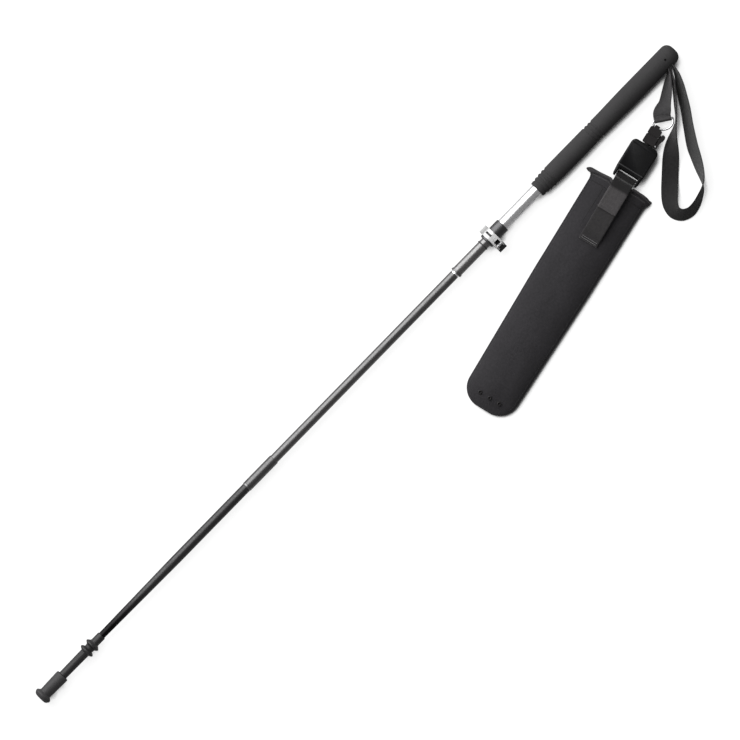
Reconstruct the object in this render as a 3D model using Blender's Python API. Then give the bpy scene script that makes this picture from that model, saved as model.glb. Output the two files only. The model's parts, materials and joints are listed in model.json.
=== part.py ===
# A folding wading staff with its retractable tether and its holster.
#
# Sizes are in metres. The staff lies along X: its foot treads on the plane X = 0 and its grip
# ends at the far end. Z is up, and the staff's axis lies on Y = 0, Z = 0. The holster lies
# beside the staff on the -Y side, on the same floor as the grip.

import math

import bmesh
import bpy
from mathutils import Matrix, Vector

# Clearances
FIT = 0.0003
SLIDE_FIT = 0.00035
CORD_FIT = 0.0004
MERGE = 0.000001

# Rubber foot
FOOT_LENGTH = 0.0460
FOOT_FLANGE_RADIUS = 0.0132
FOOT_FLANGE_DEPTH = 0.0057
FOOT_LOW_RADIUS = 0.0090
FOOT_TOP_RADIUS = 0.0099
FOOT_FLOOR = 0.0105
TREAD_RADIUS = 0.0085
TREAD_GROOVE = 0.0008

# Tip holder and its two flanges
NOSE_RADIUS = 0.0062
NOSE_END = 0.0165
HOLDER_LENGTH = 0.0797
HOLDER_LOW_RADIUS = 0.0065
HOLDER_TOP_RADIUS = 0.0075
FLANGE_RADIUS = 0.0112
FLANGE_THICKNESS = 0.0042
FLANGE_PITCH = 0.0114
FLANGE_BELOW_TOP = 0.0193
HOLDER_COLLAR_RADIUS = 0.0066
TIP_RADIUS = 0.0026
TIP_LENGTH = 0.0140

# Lower section
SOCKET_DEPTH = 0.0250
LOWER_LENGTH = 0.3217
LOWER_BOTTOM_RADIUS = 0.0050
LOWER_TOP_RADIUS = 0.0070
LOWER_WALL = 0.0012

# Middle section
MID_LENGTH = 0.4245
MID_RADIUS = 0.0068
MID_WALL = 0.0012
SLEEVE_LENGTH = 0.0525
SLEEVE_WALL = 0.0006

# Upper section, which slides in the handle
UPPER_LENGTH = 0.2780
UPPER_RADIUS = 0.0079
UPPER_WALL = 0.0012
SHAFT_SHOWN = 0.0625
STOP_RING_WIDTH = 0.0021
STOP_RING_RADIUS = 0.0006

# Joint rings and ferrules
RING_LENGTH = 0.0034
RING_LIP = 0.0012
RING_PROUD = 0.0006
FERRULE_SHANK = 0.0360
FERRULE_COLLAR = 0.0020
FERRULE_1_REACH = 0.0130
FERRULE_2_REACH = 0.0110
FOLD_1_OFFSET = 0.0130
FOLD_2_OFFSET = 0.0160
FOLD_PULL = 0.0200
NOSE_STEPS = 7

# Tension cord
CORD_RADIUS = 0.0018
LINK_LENGTH = 0.0300
CRIMP_LENGTH = 0.0090
CRIMP_RADIUS = 0.0034
BUSH_SHANK = 0.0100
BUSH_HEAD = 0.0030
SPRING_LENGTH = 0.0400
SPRING_TURNS = 9
SPRING_RADIUS = 0.0036
SPRING_WIRE = 0.0005

# Snap button under the clamp
BUTTON_RADIUS = 0.0024
BUTTON_PROUD = 0.0021
BUTTON_FROM_LIP = 0.0030
BUTTON_BAND_WIDTH = 0.0042
BUTTON_BAND_THICKNESS = 0.0005
BUTTON_BAND_OPENING = math.radians(70)

# Clamp collar and band
LIP_LENGTH = 0.0033
LIP_RADIUS = 0.0114
BAND_WIDTH = 0.0130
BAND_WALL = 0.0015
BAND_BORE_RADIUS = 0.0104
COLLAR_LENGTH = 0.0174
COLLAR_RADIUS = 0.0108
COLLAR_WALL = 0.0006
EAR_REACH = 0.0255
EAR_TOP = 0.0042
EAR_GAP = 0.0008

# Lever, its pin and the clamp screw
LEVER_WIDTH = 0.0132
LEVER_WALL = 0.0020
LEVER_TAB_REACH = 0.0171
CAM_RADIUS = 0.0049
PIN_REACH = 0.0165
PIN_RADIUS = 0.0021
SCREW_RADIUS = 0.0015
SCREW_HEAD_RADIUS = 0.0027
SCREW_HEAD_HEIGHT = 0.0024
WINDOW_WIDTH = 0.0076
WINDOW_INNER_REACH = 0.0088
SLOT_WIDTH = 0.0034
SLOT_FROM = 0.0002
SLOT_TO = 0.0098

# Handle tube
HANDLE_WALL = 0.00095
RELIEF_SLIT = 0.0015
RELIEF_LENGTH = 0.0200

# Grip
GRIP_LENGTH = 0.2811
GRIP_FROM_COLLAR = 0.0700
GRIP_END_WALL = 0.0098
GRIP_BOTTOM_RADIUS = 0.0122
GRIP_WAIST_RADIUS = 0.0144
GRIP_TOP_RADIUS = 0.0153
GRIP_TOP_ROUND = 0.0110
RIB_COUNT = 4
RIB_PITCH = 0.0069
RIB_DEPTH = 0.0013
GROOVE_COUNT = 3
GROOVE_PITCH = 0.0063
GROOVE_DEPTH = 0.0012
GROOVES_FROM = 0.1096

# Webbing
WEB_THICKNESS = 0.0019
STRAP_WIDTH = 0.0244
TETHER_WIDTH = 0.0252
GATHERED_WIDTH = 0.0174
LOOP_DROP = 0.1795

# Strap anchor inside the top of the grip
STRAP_BELOW_TOP = 0.0207
ANCHOR_STEM = 0.0250
ANCHOR_HEAD_BELOW = 0.0098
ANCHOR_WALL = 0.0022
STRAP_PIN_RADIUS = 0.0016
STRAP_PIN_DEPTH = 0.0015

# Ring at the end of the tether webbing
RING_WIRE = 0.0015
RING_DEPTH = 0.0148
RING_LEG = 0.0030
RING_CORNER = 0.0010

# Quick-release plug and socket
EYE_RADIUS = 0.0025
EYE_WALL = 0.0016
EYE_WIDTH = 0.0070
EYE_PLACE = 0.0022
PLUG_BODY_START = 0.0024
CLIP_WIDTH = 0.0186
CLIP_HEIGHT = 0.0090
CLIP_SIDE = 0.0006
PLUG_BODY_LENGTH = 0.0118
TONGUE_LENGTH = 0.0085
TONGUE_WIDTH = 0.0100
TONGUE_HEIGHT = 0.0044
CLIP_SOCKET_LENGTH = 0.0137
LATCH_HEIGHT = 0.0048
LATCH_REACH = 0.0074
LATCH_WIDTH = 0.0044
LATCH_LENGTH = 0.0205
LATCH_TRAVEL = math.radians(5)
LATCH_PIN_RADIUS = 0.0010
LUG_HEIGHT = 0.0016

# Retractor case
CASE_START = 0.0300
CASE_LENGTH = 0.0480
CASE_WIDTH = 0.0424
CASE_HEIGHT = 0.0200
CASE_ROUND = 0.0070
CASE_BEVEL = 0.0016
CASE_WALL = 0.0020
ARM_LENGTH = 0.0130
ARM_WIDTH = 0.0042
ARM_HEIGHT = 0.0130
BAR_RADIUS = 0.0020
BAR_FROM_CASE = 0.0080
NOZZLE_RADIUS = 0.0036
NOZZLE_LENGTH = 0.0060
NOZZLE_FLANGE = 0.0012
CASE_SCREW_RADIUS = 0.0013
CASE_SCREW_HEAD = 0.0024

# Spool, spring and line
SPOOL_RADIUS = 0.0165
SPOOL_HEIGHT = 0.0082
SPOOL_FLANGE = 0.0010
LINE_PACK_RADIUS = 0.0116
AXLE_RADIUS = 0.0025
CAVITY_RADIUS = 0.0173
LINE_RADIUS = 0.0007
COIL_TURNS = 4
COIL_THICKNESS = 0.0005
COIL_HEIGHT = 0.0026
COIL_INNER = 0.0036
COIL_OUTER = 0.0160

# Holster
HOLSTER_START = 0.1030
HOLSTER_LENGTH = 0.3730
MOUTH_HALF_WIDTH = 0.0500
NECK_HALF_WIDTH = 0.0445
HOLSTER_HALF_WIDTH = 0.0437
BOTTOM_HALF_WIDTH = 0.0395
BOTTOM_ROUND = 0.0300
FLARE_LENGTH = 0.0100
BACK_THICKNESS = 0.0033
FRONT_THICKNESS = 0.0035
POCKET_HEIGHT = 0.0122
SEAM_WIDTH = 0.0060
BINDING_RADIUS = 0.0020
EYELET_BORE = 0.0015
EYELET_RADIUS = 0.0031
EYELET_SPACING = 0.0160
EYELET_FROM_BOTTOM = 0.0190

# Strip of webbing between the retractor and the holster
STRIP_WIDTH = 0.0296
STRIP_BELT_GAP = 0.0046
STRIP_STITCH = 0.0910
STRIP_FOLD_END = 0.0390

# Where the tether lies beside the grip
RING_BELOW_TOP = 0.0830
RING_Y = -0.0585
RING_TURN = math.radians(-34.4)
CHAIN_TURN = math.radians(192.5)

# Derived places along the staff
HOLDER_START = FOOT_LENGTH + FIT
HOLDER_TOP = HOLDER_START + HOLDER_LENGTH
LOWER_START = HOLDER_TOP - SOCKET_DEPTH
LOWER_TOP = LOWER_START + LOWER_LENGTH
JOINT_2 = LOWER_TOP + FIT
MID_START = JOINT_2 + RING_LIP + FIT
MID_TOP = MID_START + MID_LENGTH
JOINT_1 = MID_TOP + FIT + FERRULE_COLLAR + FIT
UPPER_START = JOINT_1 + RING_LIP + FIT
UPPER_TOP = UPPER_START + UPPER_LENGTH
CLAMP_START = JOINT_1 + SHAFT_SHOWN
BAND_START = CLAMP_START + LIP_LENGTH + FIT
COLLAR_START = BAND_START + BAND_WIDTH + FIT
COLLAR_TOP = COLLAR_START + COLLAR_LENGTH
HANDLE_START = CLAMP_START + LIP_LENGTH + 4 * FIT
GRIP_START = COLLAR_TOP + GRIP_FROM_COLLAR
GRIP_TOP = GRIP_START + GRIP_LENGTH
STRAP_X = GRIP_TOP - STRAP_BELOW_TOP
HANDLE_TOP = STRAP_X - ANCHOR_HEAD_BELOW
BAND_MIDDLE = BAND_START + BAND_WIDTH / 2
HANDLE_RADIUS = BAND_BORE_RADIUS - FIT - COLLAR_WALL - FIT
HANDLE_BORE = HANDLE_RADIUS - HANDLE_WALL
UPPER_BORE = UPPER_RADIUS - UPPER_WALL
MID_BORE = MID_RADIUS - MID_WALL
LOWER_TOP_BORE = LOWER_TOP_RADIUS - LOWER_WALL
CORD_HOLE = CORD_RADIUS + CORD_FIT
BAND_RADIUS = BAND_BORE_RADIUS + BAND_WALL
PIN_HEIGHT = EAR_TOP + FIT + CAM_RADIUS
BUTTON_X = CLAMP_START - BUTTON_FROM_LIP
STOP_RING_X = BUTTON_X - BUTTON_RADIUS - 2 * FIT - STOP_RING_WIDTH

# Derived places along the tether
FLOOR = -GRIP_TOP_RADIUS
RING_X = GRIP_TOP - RING_BELOW_TOP
RING_HALF_WIDTH = TETHER_WIDTH / 2 + FIT + RING_WIRE
CHAIN_Z = FLOOR + CASE_HEIGHT / 2
STRAND_OFFSET = STRAP_PIN_RADIUS + FIT + WEB_THICKNESS / 2
TETHER_OFFSET = STRAND_OFFSET + WEB_THICKNESS + 2 * FIT
ANCHOR_RADIUS = GRIP_TOP_RADIUS - ANCHOR_WALL
SLOT_HALF_HEIGHT = GATHERED_WIDTH / 2 + 2 * FIT
PLUG_BODY_END = PLUG_BODY_START + PLUG_BODY_LENGTH
CLIP_SOCKET_START = PLUG_BODY_END + FIT
CLIP_SOCKET_END = CLIP_SOCKET_START + CLIP_SOCKET_LENGTH
CASE_END = CASE_START + CASE_LENGTH
BAR_PLACE = CASE_END + BAR_FROM_CASE
SPOOL_PLACE = CASE_START + CASE_LENGTH / 2
HOLSTER_END = HOLSTER_START + HOLSTER_LENGTH
BACK_TOP = FLOOR + BACK_THICKNESS
SEAM = BACK_TOP + FIT
FRONT_TOP = SEAM + POCKET_HEIGHT + FRONT_THICKNESS


# Materials

def look(name, colour, roughness, metallic=0.0):
    """A Principled material in the part's own colour."""
    material = bpy.data.materials.new(name)
    material.use_nodes = True
    shader = material.node_tree.nodes["Principled BSDF"]
    shader.inputs["Base Color"].default_value = (*colour, 1.0)
    shader.inputs["Roughness"].default_value = roughness
    shader.inputs["Metallic"].default_value = metallic
    return material


def make_looks():
    """One material for each thing that the pieces are made of."""
    return {
        "foam": look("eva_foam", (0.055, 0.053, 0.055), 0.9),
        "rubber": look("black_rubber", (0.035, 0.034, 0.036), 0.75),
        "plastic": look("black_plastic", (0.018, 0.018, 0.019), 0.45),
        "shaft": look("dark_shaft", (0.11, 0.10, 0.105), 0.35, 0.6),
        "silver": look("polished_aluminium", (0.80, 0.80, 0.80), 0.22, 1.0),
        "steel": look("steel", (0.62, 0.62, 0.63), 0.3, 1.0),
        "carbide": look("carbide", (0.30, 0.30, 0.31), 0.4, 1.0),
        "cord": look("coated_cord", (0.03, 0.03, 0.03), 0.5),
        "webbing": look("nylon_webbing", (0.032, 0.032, 0.034), 0.85),
        "neoprene": look("neoprene", (0.045, 0.043, 0.045), 0.9),
    }


# Building helpers

def clear_scene():
    """Remove whatever the open file holds."""
    for thing in list(bpy.data.objects):
        bpy.data.objects.remove(thing)


def arc(centre, radius, start, end, steps):
    """Points of an arc from one angle to another, both ends included."""
    points = []
    for step in range(steps + 1):
        angle = start + (end - start) * step / steps
        points.append((centre[0] + radius * math.cos(angle), centre[1] + radius * math.sin(angle)))
    return points


def add_object(name, mesh, material):
    """Link a finished bmesh to the scene as one object with one material."""
    data = bpy.data.meshes.new(name)
    bmesh.ops.recalc_face_normals(mesh, faces=mesh.faces)
    mesh.to_mesh(data)
    mesh.free()
    if material:
        data.materials.append(material)
    piece = bpy.data.objects.new(name, data)
    bpy.context.collection.objects.link(piece)
    return piece


def smooth(piece, angle=35):
    """Shade round faces smooth and keep real corners sharp."""
    piece.data.shade_smooth()
    piece.data.set_sharp_from_angle(angle=math.radians(angle))
    return piece


def turned(name, profile, material, sides=28):
    """Revolve a closed outline of (place along X, radius) about the X axis."""
    mesh = bmesh.new()
    corners = [mesh.verts.new((place, 0.0, radius)) for place, radius in profile]
    edges = []
    for first, second in zip(corners, corners[1:] + corners[:1]):
        if first.co.z > 0 or second.co.z > 0:
            edges.append(mesh.edges.new((first, second)))
    bmesh.ops.spin(mesh, geom=corners + edges, cent=(0, 0, 0), axis=(1, 0, 0),
                   angle=2 * math.pi, steps=sides, use_merge=True)
    bmesh.ops.remove_doubles(mesh, verts=mesh.verts, dist=MERGE)
    return smooth(add_object(name, mesh, material))


def tube(name, start, end, outer, inner, material, sides=28):
    """A plain round tube along X."""
    profile = [(start, inner), (start, outer), (end, outer), (end, inner)]
    return turned(name, profile, material, sides)


def prism(name, outline, low, high, axis, material):
    """Extrude a flat outline between two heights along X, Y or Z."""
    places = {
        "X": lambda point, height: (height, point[0], point[1]),
        "Y": lambda point, height: (point[0], height, point[1]),
        "Z": lambda point, height: (point[0], point[1], height),
    }[axis]
    mesh = bmesh.new()
    face = mesh.faces.new([mesh.verts.new(places(point, low)) for point in outline])
    result = bmesh.ops.extrude_face_region(mesh, geom=[face])
    moved = [item for item in result["geom"] if isinstance(item, bmesh.types.BMVert)]
    shift = Vector(places((0.0, 0.0), high - low))
    bmesh.ops.translate(mesh, verts=moved, vec=shift)
    bmesh.ops.triangulate(mesh, faces=mesh.faces)
    return add_object(name, mesh, material)


def loft(name, rings, material, closed=False):
    """Join rings of equal count into one body, with flat ends or as an endless loop."""
    mesh = bmesh.new()
    layers = [[mesh.verts.new(point) for point in ring] for ring in rings]
    count = len(layers[0])
    pairs = list(zip(layers, layers[1:]))
    if closed:
        pairs.append((layers[-1], layers[0]))
    for near, far in pairs:
        for corner in range(count):
            after = (corner + 1) % count
            mesh.faces.new((near[corner], near[after], far[after], far[corner]))
    if not closed:
        mesh.faces.new(layers[0])
        mesh.faces.new(list(reversed(layers[-1])))
    return add_object(name, mesh, material)


def wire(name, points, radius, material, up, closed=False, sides=8):
    """A round wire or cord through points, swept with its cross-section kept upright to a direction."""
    places = [Vector(point) for point in points]
    count = len(places)
    mesh = bmesh.new()
    rings = []
    for index, place in enumerate(places):
        if closed:
            along = places[(index + 1) % count] - places[index - 1]
        else:
            along = places[min(index + 1, count - 1)] - places[max(index - 1, 0)]
        side = along.cross(Vector(up)).normalized()
        rise = side.cross(along).normalized()
        ring = []
        for corner in range(sides):
            angle = 2 * math.pi * corner / sides
            ring.append(mesh.verts.new(place + radius * (math.cos(angle) * side + math.sin(angle) * rise)))
        rings.append(ring)
    pairs = list(zip(rings, rings[1:]))
    if closed:
        pairs.append((rings[-1], rings[0]))
    for near, far in pairs:
        for corner in range(sides):
            after = (corner + 1) % sides
            mesh.faces.new((near[corner], near[after], far[after], far[corner]))
    if not closed:
        mesh.faces.new(rings[0])
        mesh.faces.new(list(reversed(rings[-1])))
    return smooth(add_object(name, mesh, material))


def guide(piece):
    """Hide a cutter, so that it only shapes the piece that it cuts."""
    piece.hide_render = True
    piece.display_type = "WIRE"
    return piece


def cut(piece, *cutters):
    """Take cutters away from a piece with exact Booleans."""
    for cutter in cutters:
        modifier = piece.modifiers.new("cut_" + cutter.name, "BOOLEAN")
        modifier.operation = "DIFFERENCE"
        modifier.solver = "EXACT"
        modifier.object = guide(cutter)
    return piece


def box_cutter(name, low, high):
    """A box between two corners, used as a cutter."""
    outline = [(low[0], low[1]), (high[0], low[1]), (high[0], high[1]), (low[0], high[1])]
    return prism(name, outline, low[2], high[2], "Z", None)


def rod_cutter(name, centre, radius, low, high, axis, sides=20):
    """A round bar along X, Y or Z, used as a cutter."""
    outline = arc(centre, radius, 0.0, 2 * math.pi, sides)[:-1]
    return prism(name, outline, low, high, axis, None)


def between(points, steps):
    """A smooth curve through points given as vectors."""
    curve = []
    padded = [points[0]] + list(points) + [points[-1]]
    for index in range(1, len(padded) - 2):
        before, start, end, after = padded[index - 1:index + 3]
        for step in range(steps):
            share = step / steps
            curve.append(0.5 * (
                2 * start + (end - before) * share
                + (2 * before - 5 * start + 4 * end - after) * share ** 2
                + (3 * start - before - 3 * end + after) * share ** 3))
    curve.append(points[-1].copy())
    return curve


def ribbon(name, stations, thickness, material, closed=False):
    """Sweep flat webbing along stations of (place, direction of its width, width)."""
    rings = []
    count = len(stations)
    for index, (place, across, width) in enumerate(stations):
        if closed:
            along = stations[(index + 1) % count][0] - stations[index - 1][0]
        else:
            along = stations[min(index + 1, count - 1)][0] - stations[max(index - 1, 0)][0]
        along.normalize()
        across = (across - along * across.dot(along)).normalized()
        normal = along.cross(across)
        side = across * (width / 2)
        rise = normal * (thickness / 2)
        rings.append([place - side - rise, place + side - rise, place + side + rise, place - side + rise])
    return smooth(loft(name, rings, material, closed), 60)


def frame_at(name, place, turn=None):
    """An empty on a joint's axis, which carries the pieces that move about it."""
    empty = bpy.data.objects.new(name, None)
    bpy.context.collection.objects.link(empty)
    empty.matrix_world = Matrix.Translation(place) @ (turn or Matrix.Identity(4))
    return empty


def carry(empty, *pieces):
    """Parent pieces to an empty and leave them where they lie."""
    for piece in pieces:
        piece.parent = empty
        piece.matrix_parent_inverse = empty.matrix_world.inverted()


# Foot and tip

def make_foot(looks):
    """The rubber foot, a cup with a wide ribbed tread."""
    flange = arc((FOOT_FLANGE_DEPTH, FOOT_FLANGE_RADIUS - 0.0030), 0.0030, math.radians(125),
                 math.radians(20), 4)
    profile = [
        (0.0, 0.0),
        (0.0, TREAD_RADIUS - 2 * TREAD_GROOVE),
        (TREAD_GROOVE, TREAD_RADIUS - 1.5 * TREAD_GROOVE),
        (TREAD_GROOVE, TREAD_RADIUS - 0.5 * TREAD_GROOVE),
        (0.0, TREAD_RADIUS),
        (0.0012, FOOT_FLANGE_RADIUS - 0.0026),
        *flange,
        (FOOT_FLANGE_DEPTH + 0.0048, FOOT_LOW_RADIUS),
        (FOOT_LENGTH - 0.0030, FOOT_TOP_RADIUS),
        (FOOT_LENGTH - 0.0007, FOOT_TOP_RADIUS - 0.0003),
        (FOOT_LENGTH, FOOT_TOP_RADIUS - 0.0012),
        (FOOT_LENGTH, NOSE_RADIUS + FIT),
        (NOSE_END - FIT, NOSE_RADIUS + FIT),
        (NOSE_END - FIT, TIP_RADIUS + 4 * FIT),
        (FOOT_FLOOR, TIP_RADIUS + 4 * FIT),
        (FOOT_FLOOR, 0.0),
    ]
    return turned("rubber_foot", profile, looks["rubber"], 26)


def make_tip_holder(looks):
    """The moulded tip holder with two basket flanges and a socket for the shaft."""
    flange_top = HOLDER_TOP - FLANGE_BELOW_TOP
    profile = [
        (NOSE_END, TIP_RADIUS + FIT),
        (NOSE_END, NOSE_RADIUS - 0.0010),
        (NOSE_END + 0.0020, NOSE_RADIUS),
        (HOLDER_START - FIT, NOSE_RADIUS),
        (HOLDER_START, NOSE_RADIUS),
        (HOLDER_START, HOLDER_LOW_RADIUS),
    ]
    for flange in (1, 0):
        middle = flange_top - flange * FLANGE_PITCH
        root = HOLDER_TOP_RADIUS - 0.0006 * flange
        profile += [
            (middle - FLANGE_THICKNESS * 0.9, root),
            (middle - FLANGE_THICKNESS / 2, FLANGE_RADIUS - 0.0014),
            (middle - FLANGE_THICKNESS / 5, FLANGE_RADIUS),
            (middle + FLANGE_THICKNESS / 5, FLANGE_RADIUS),
            (middle + FLANGE_THICKNESS / 2, FLANGE_RADIUS - 0.0014),
            (middle + FLANGE_THICKNESS * 0.9, root),
        ]
    socket_bottom = LOWER_START - FIT
    profile += [
        (flange_top + FLANGE_THICKNESS * 1.2, HOLDER_COLLAR_RADIUS),
        (HOLDER_TOP - 0.0012, HOLDER_COLLAR_RADIUS),
        (HOLDER_TOP, HOLDER_COLLAR_RADIUS - 0.0005),
        (HOLDER_TOP, lower_radius(HOLDER_TOP) + FIT),
        (socket_bottom, LOWER_BOTTOM_RADIUS + FIT),
        (socket_bottom, LOWER_BOTTOM_RADIUS - LOWER_WALL),
        (socket_bottom - 0.0060, TIP_RADIUS),
        (TIP_LENGTH + FOOT_FLOOR + 2 * FIT, TIP_RADIUS),
        (TIP_LENGTH + FOOT_FLOOR + 2 * FIT, TIP_RADIUS + FIT),
    ]
    return turned("tip_holder", profile, looks["plastic"], 24)


def make_carbide_tip(looks):
    """The hard tip that bites once the rubber foot is pulled off."""
    start = FOOT_FLOOR + FIT
    profile = [
        (start + 0.0010, 0.0),
        (start, TIP_RADIUS - 0.0010),
        (start + 0.0008, TIP_RADIUS),
        (start + TIP_LENGTH, TIP_RADIUS),
        (start + TIP_LENGTH, 0.0),
    ]
    return turned("carbide_tip", profile, looks["carbide"], 16)


# Shaft sections

def lower_radius(place):
    """Outer radius of the tapered lower tube at a place along X."""
    taper = max(0.0, min(1.0, (place - LOWER_START) / (LOWER_LENGTH * 0.55)))
    return LOWER_BOTTOM_RADIUS + (LOWER_TOP_RADIUS - LOWER_BOTTOM_RADIUS) * taper


def make_lower_tube(looks):
    """The tapered lower section."""
    places = [LOWER_START, HOLDER_TOP, LOWER_START + LOWER_LENGTH * 0.55, LOWER_TOP]
    outer = [(place, lower_radius(place)) for place in places]
    inner = [(place, radius - LOWER_WALL) for place, radius in reversed(outer)]
    return turned("lower_tube", outer + inner, looks["shaft"], 28)


def bullet(base_radius, bore, offset, reach, plane):
    """Outline of a ferrule nose that leaves its bore without touching it while it swings out."""
    points = []
    arm = base_radius + offset
    swing = arm + FOLD_PULL
    curve = 1 / swing - arm / (2 * swing ** 2)
    for step in range(NOSE_STEPS + 1):
        height = reach * step / NOSE_STEPS
        drift = curve * height ** 2
        points.append((plane + height, min(base_radius, bore - FIT - drift)))
    return points


def make_ferrule_2(looks):
    """The turned plug on top of the lower section."""
    nose = bullet(MID_BORE - FIT, MID_BORE, FOLD_2_OFFSET, FERRULE_2_REACH, JOINT_2)
    shank = LOWER_TOP_BORE - FIT
    profile = [
        (LOWER_TOP - FERRULE_SHANK, CORD_HOLE),
        (LOWER_TOP - FERRULE_SHANK, shank),
        (LOWER_TOP, shank),
        *nose,
        (JOINT_2 + FERRULE_2_REACH, CORD_HOLE),
    ]
    return turned("lower_ferrule", profile, looks["silver"], 24)


def make_ferrule_1(looks):
    """The turned plug on top of the middle section, with its stop collar."""
    nose = bullet(UPPER_BORE - FIT, UPPER_BORE, FOLD_1_OFFSET, FERRULE_1_REACH, JOINT_1)
    collar_start = MID_TOP + FIT
    collar_end = collar_start + FERRULE_COLLAR
    profile = [
        (MID_TOP - FERRULE_SHANK, CORD_HOLE),
        (MID_TOP - FERRULE_SHANK, MID_BORE - FIT),
        (collar_start, MID_BORE - FIT),
        (collar_start, MID_RADIUS),
        (collar_end, MID_RADIUS),
        (collar_end, UPPER_BORE - FIT),
        *nose,
        (JOINT_1 + FERRULE_1_REACH, CORD_HOLE),
    ]
    return turned("middle_ferrule", profile, looks["silver"], 24)


def make_joint_ring(name, plane, tube_radius, bore, material):
    """A bright ring that caps the mouth of a tube."""
    outer = tube_radius + FIT + RING_PROUD
    profile = [
        (plane, bore),
        (plane, outer - 0.0003),
        (plane + 0.0003, outer),
        (plane + RING_LENGTH, outer),
        (plane + RING_LENGTH, tube_radius + FIT),
        (plane + RING_LIP, tube_radius + FIT),
        (plane + RING_LIP, bore),
    ]
    return turned(name, profile, material, 28)


def make_mid_sleeve(looks):
    """The sleeve that stiffens the mouth of the middle section."""
    start = JOINT_2 + RING_LENGTH + FIT
    end = start + SLEEVE_LENGTH
    inner = MID_RADIUS + FIT
    outer = inner + SLEEVE_WALL
    profile = [(start, inner), (start, outer), (end - 0.0006, outer), (end, outer - 0.0004), (end, inner)]
    return turned("middle_sleeve", profile, looks["shaft"], 28)


def make_stop_ring(looks):
    """The rubber ring below the snap button."""
    inner = UPPER_RADIUS + FIT
    outer = inner + STOP_RING_RADIUS
    end = STOP_RING_X + STOP_RING_WIDTH
    profile = [
        (STOP_RING_X, inner),
        (STOP_RING_X + 0.0005, outer),
        (end - 0.0005, outer),
        (end, inner),
    ]
    return turned("stop_ring", profile, looks["rubber"], 24)


def make_guide_bush(looks):
    """The plastic bush on the top end of the upper tube, which the cord runs through."""
    end = UPPER_TOP + FIT + BUSH_HEAD
    profile = [
        (UPPER_TOP - BUSH_SHANK, CORD_HOLE),
        (UPPER_TOP - BUSH_SHANK, UPPER_BORE - FIT),
        (UPPER_TOP + FIT, UPPER_BORE - FIT),
        (UPPER_TOP + FIT, UPPER_RADIUS),
        (end, UPPER_RADIUS),
        (end, CORD_HOLE),
    ]
    return turned("guide_bush", profile, looks["plastic"], 24)


# Tension cord

def make_cords(looks):
    """The cord's three straight runs and its two links across the joints."""
    bush_end = UPPER_TOP + FIT + BUSH_HEAD
    crimp_bottom = LOWER_TOP - FERRULE_SHANK - SPRING_LENGTH - 2 * FIT
    below = LINK_LENGTH * 0.2
    runs = {
        "cord_lower": (crimp_bottom - CRIMP_LENGTH + FIT, JOINT_2 - below - FIT),
        "cord_link_lower": (JOINT_2 - below, JOINT_2 - below + LINK_LENGTH),
        "cord_middle": (JOINT_2 - below + LINK_LENGTH + FIT, JOINT_1 - below - FIT),
        "cord_link_upper": (JOINT_1 - below, JOINT_1 - below + LINK_LENGTH),
        "cord_upper": (JOINT_1 - below + LINK_LENGTH + FIT, bush_end + CRIMP_LENGTH),
    }
    cords = {}
    for name, (start, end) in runs.items():
        profile = [(start, 0.0), (start, CORD_RADIUS), (end, CORD_RADIUS), (end, 0.0)]
        cords[name] = turned(name, profile, looks["cord"], 10)
    return cords


def make_crimps(looks):
    """The crimped ends that hold the cord at the top and in the lower section."""
    top = UPPER_TOP + FIT + BUSH_HEAD + FIT
    bottom = LOWER_TOP - FERRULE_SHANK - SPRING_LENGTH - 2 * FIT
    inner = CORD_RADIUS + FIT
    upper = tube("cord_crimp_upper", top, top + CRIMP_LENGTH, CRIMP_RADIUS, inner, looks["steel"], 16)
    lower = tube("cord_crimp_lower", bottom - CRIMP_LENGTH, bottom, SPRING_RADIUS + SPRING_WIRE, inner,
                 looks["steel"], 16)
    return upper, lower


def make_tension_spring(looks):
    """The coil spring between the lower crimp and the lower ferrule."""
    start = LOWER_TOP - FERRULE_SHANK - SPRING_LENGTH - FIT + SPRING_WIRE
    length = SPRING_LENGTH - 2 * SPRING_WIRE
    points = []
    steps = SPRING_TURNS * 8
    for step in range(steps + 1):
        angle = 2 * math.pi * step / 8
        points.append((start + length * step / steps, SPRING_RADIUS * math.cos(angle),
                       SPRING_RADIUS * math.sin(angle)))
    return wire("tension_spring", points, SPRING_WIRE, looks["steel"], (1.0, 0.0, 0.0), sides=4)


# Snap button

def make_snap_button(looks):
    """The domed button that pops out under the clamp and holds the cord tight."""
    foot = UPPER_BORE - FIT
    top = UPPER_RADIUS + BUTTON_PROUD
    profile = [
        (foot, 0.0),
        (foot, BUTTON_RADIUS),
        (top - 0.0012, BUTTON_RADIUS),
        (top - 0.0004, BUTTON_RADIUS - 0.0006),
        (top, BUTTON_RADIUS - 0.0014),
        (top, 0.0),
    ]
    button = turned("snap_button", profile, looks["silver"], 18)
    button.matrix_world = Matrix.Translation((BUTTON_X, 0, 0)) @ Matrix.Rotation(math.pi / 2, 4, "Y")
    return button


def make_button_spring(looks):
    """The sprung band inside the tube that carries the button."""
    outer = UPPER_BORE - 2 * FIT
    inner = outer - BUTTON_BAND_THICKNESS
    start = math.pi / 2 + BUTTON_BAND_OPENING / 2
    end = start + 2 * math.pi - BUTTON_BAND_OPENING
    outline = arc((0, 0), outer, start, end, 18) + arc((0, 0), inner, end, start, 18)
    low = BUTTON_X - BUTTON_BAND_WIDTH / 2
    return prism("button_spring", outline, low, low + BUTTON_BAND_WIDTH, "X", looks["steel"])


# Clamp

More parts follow.
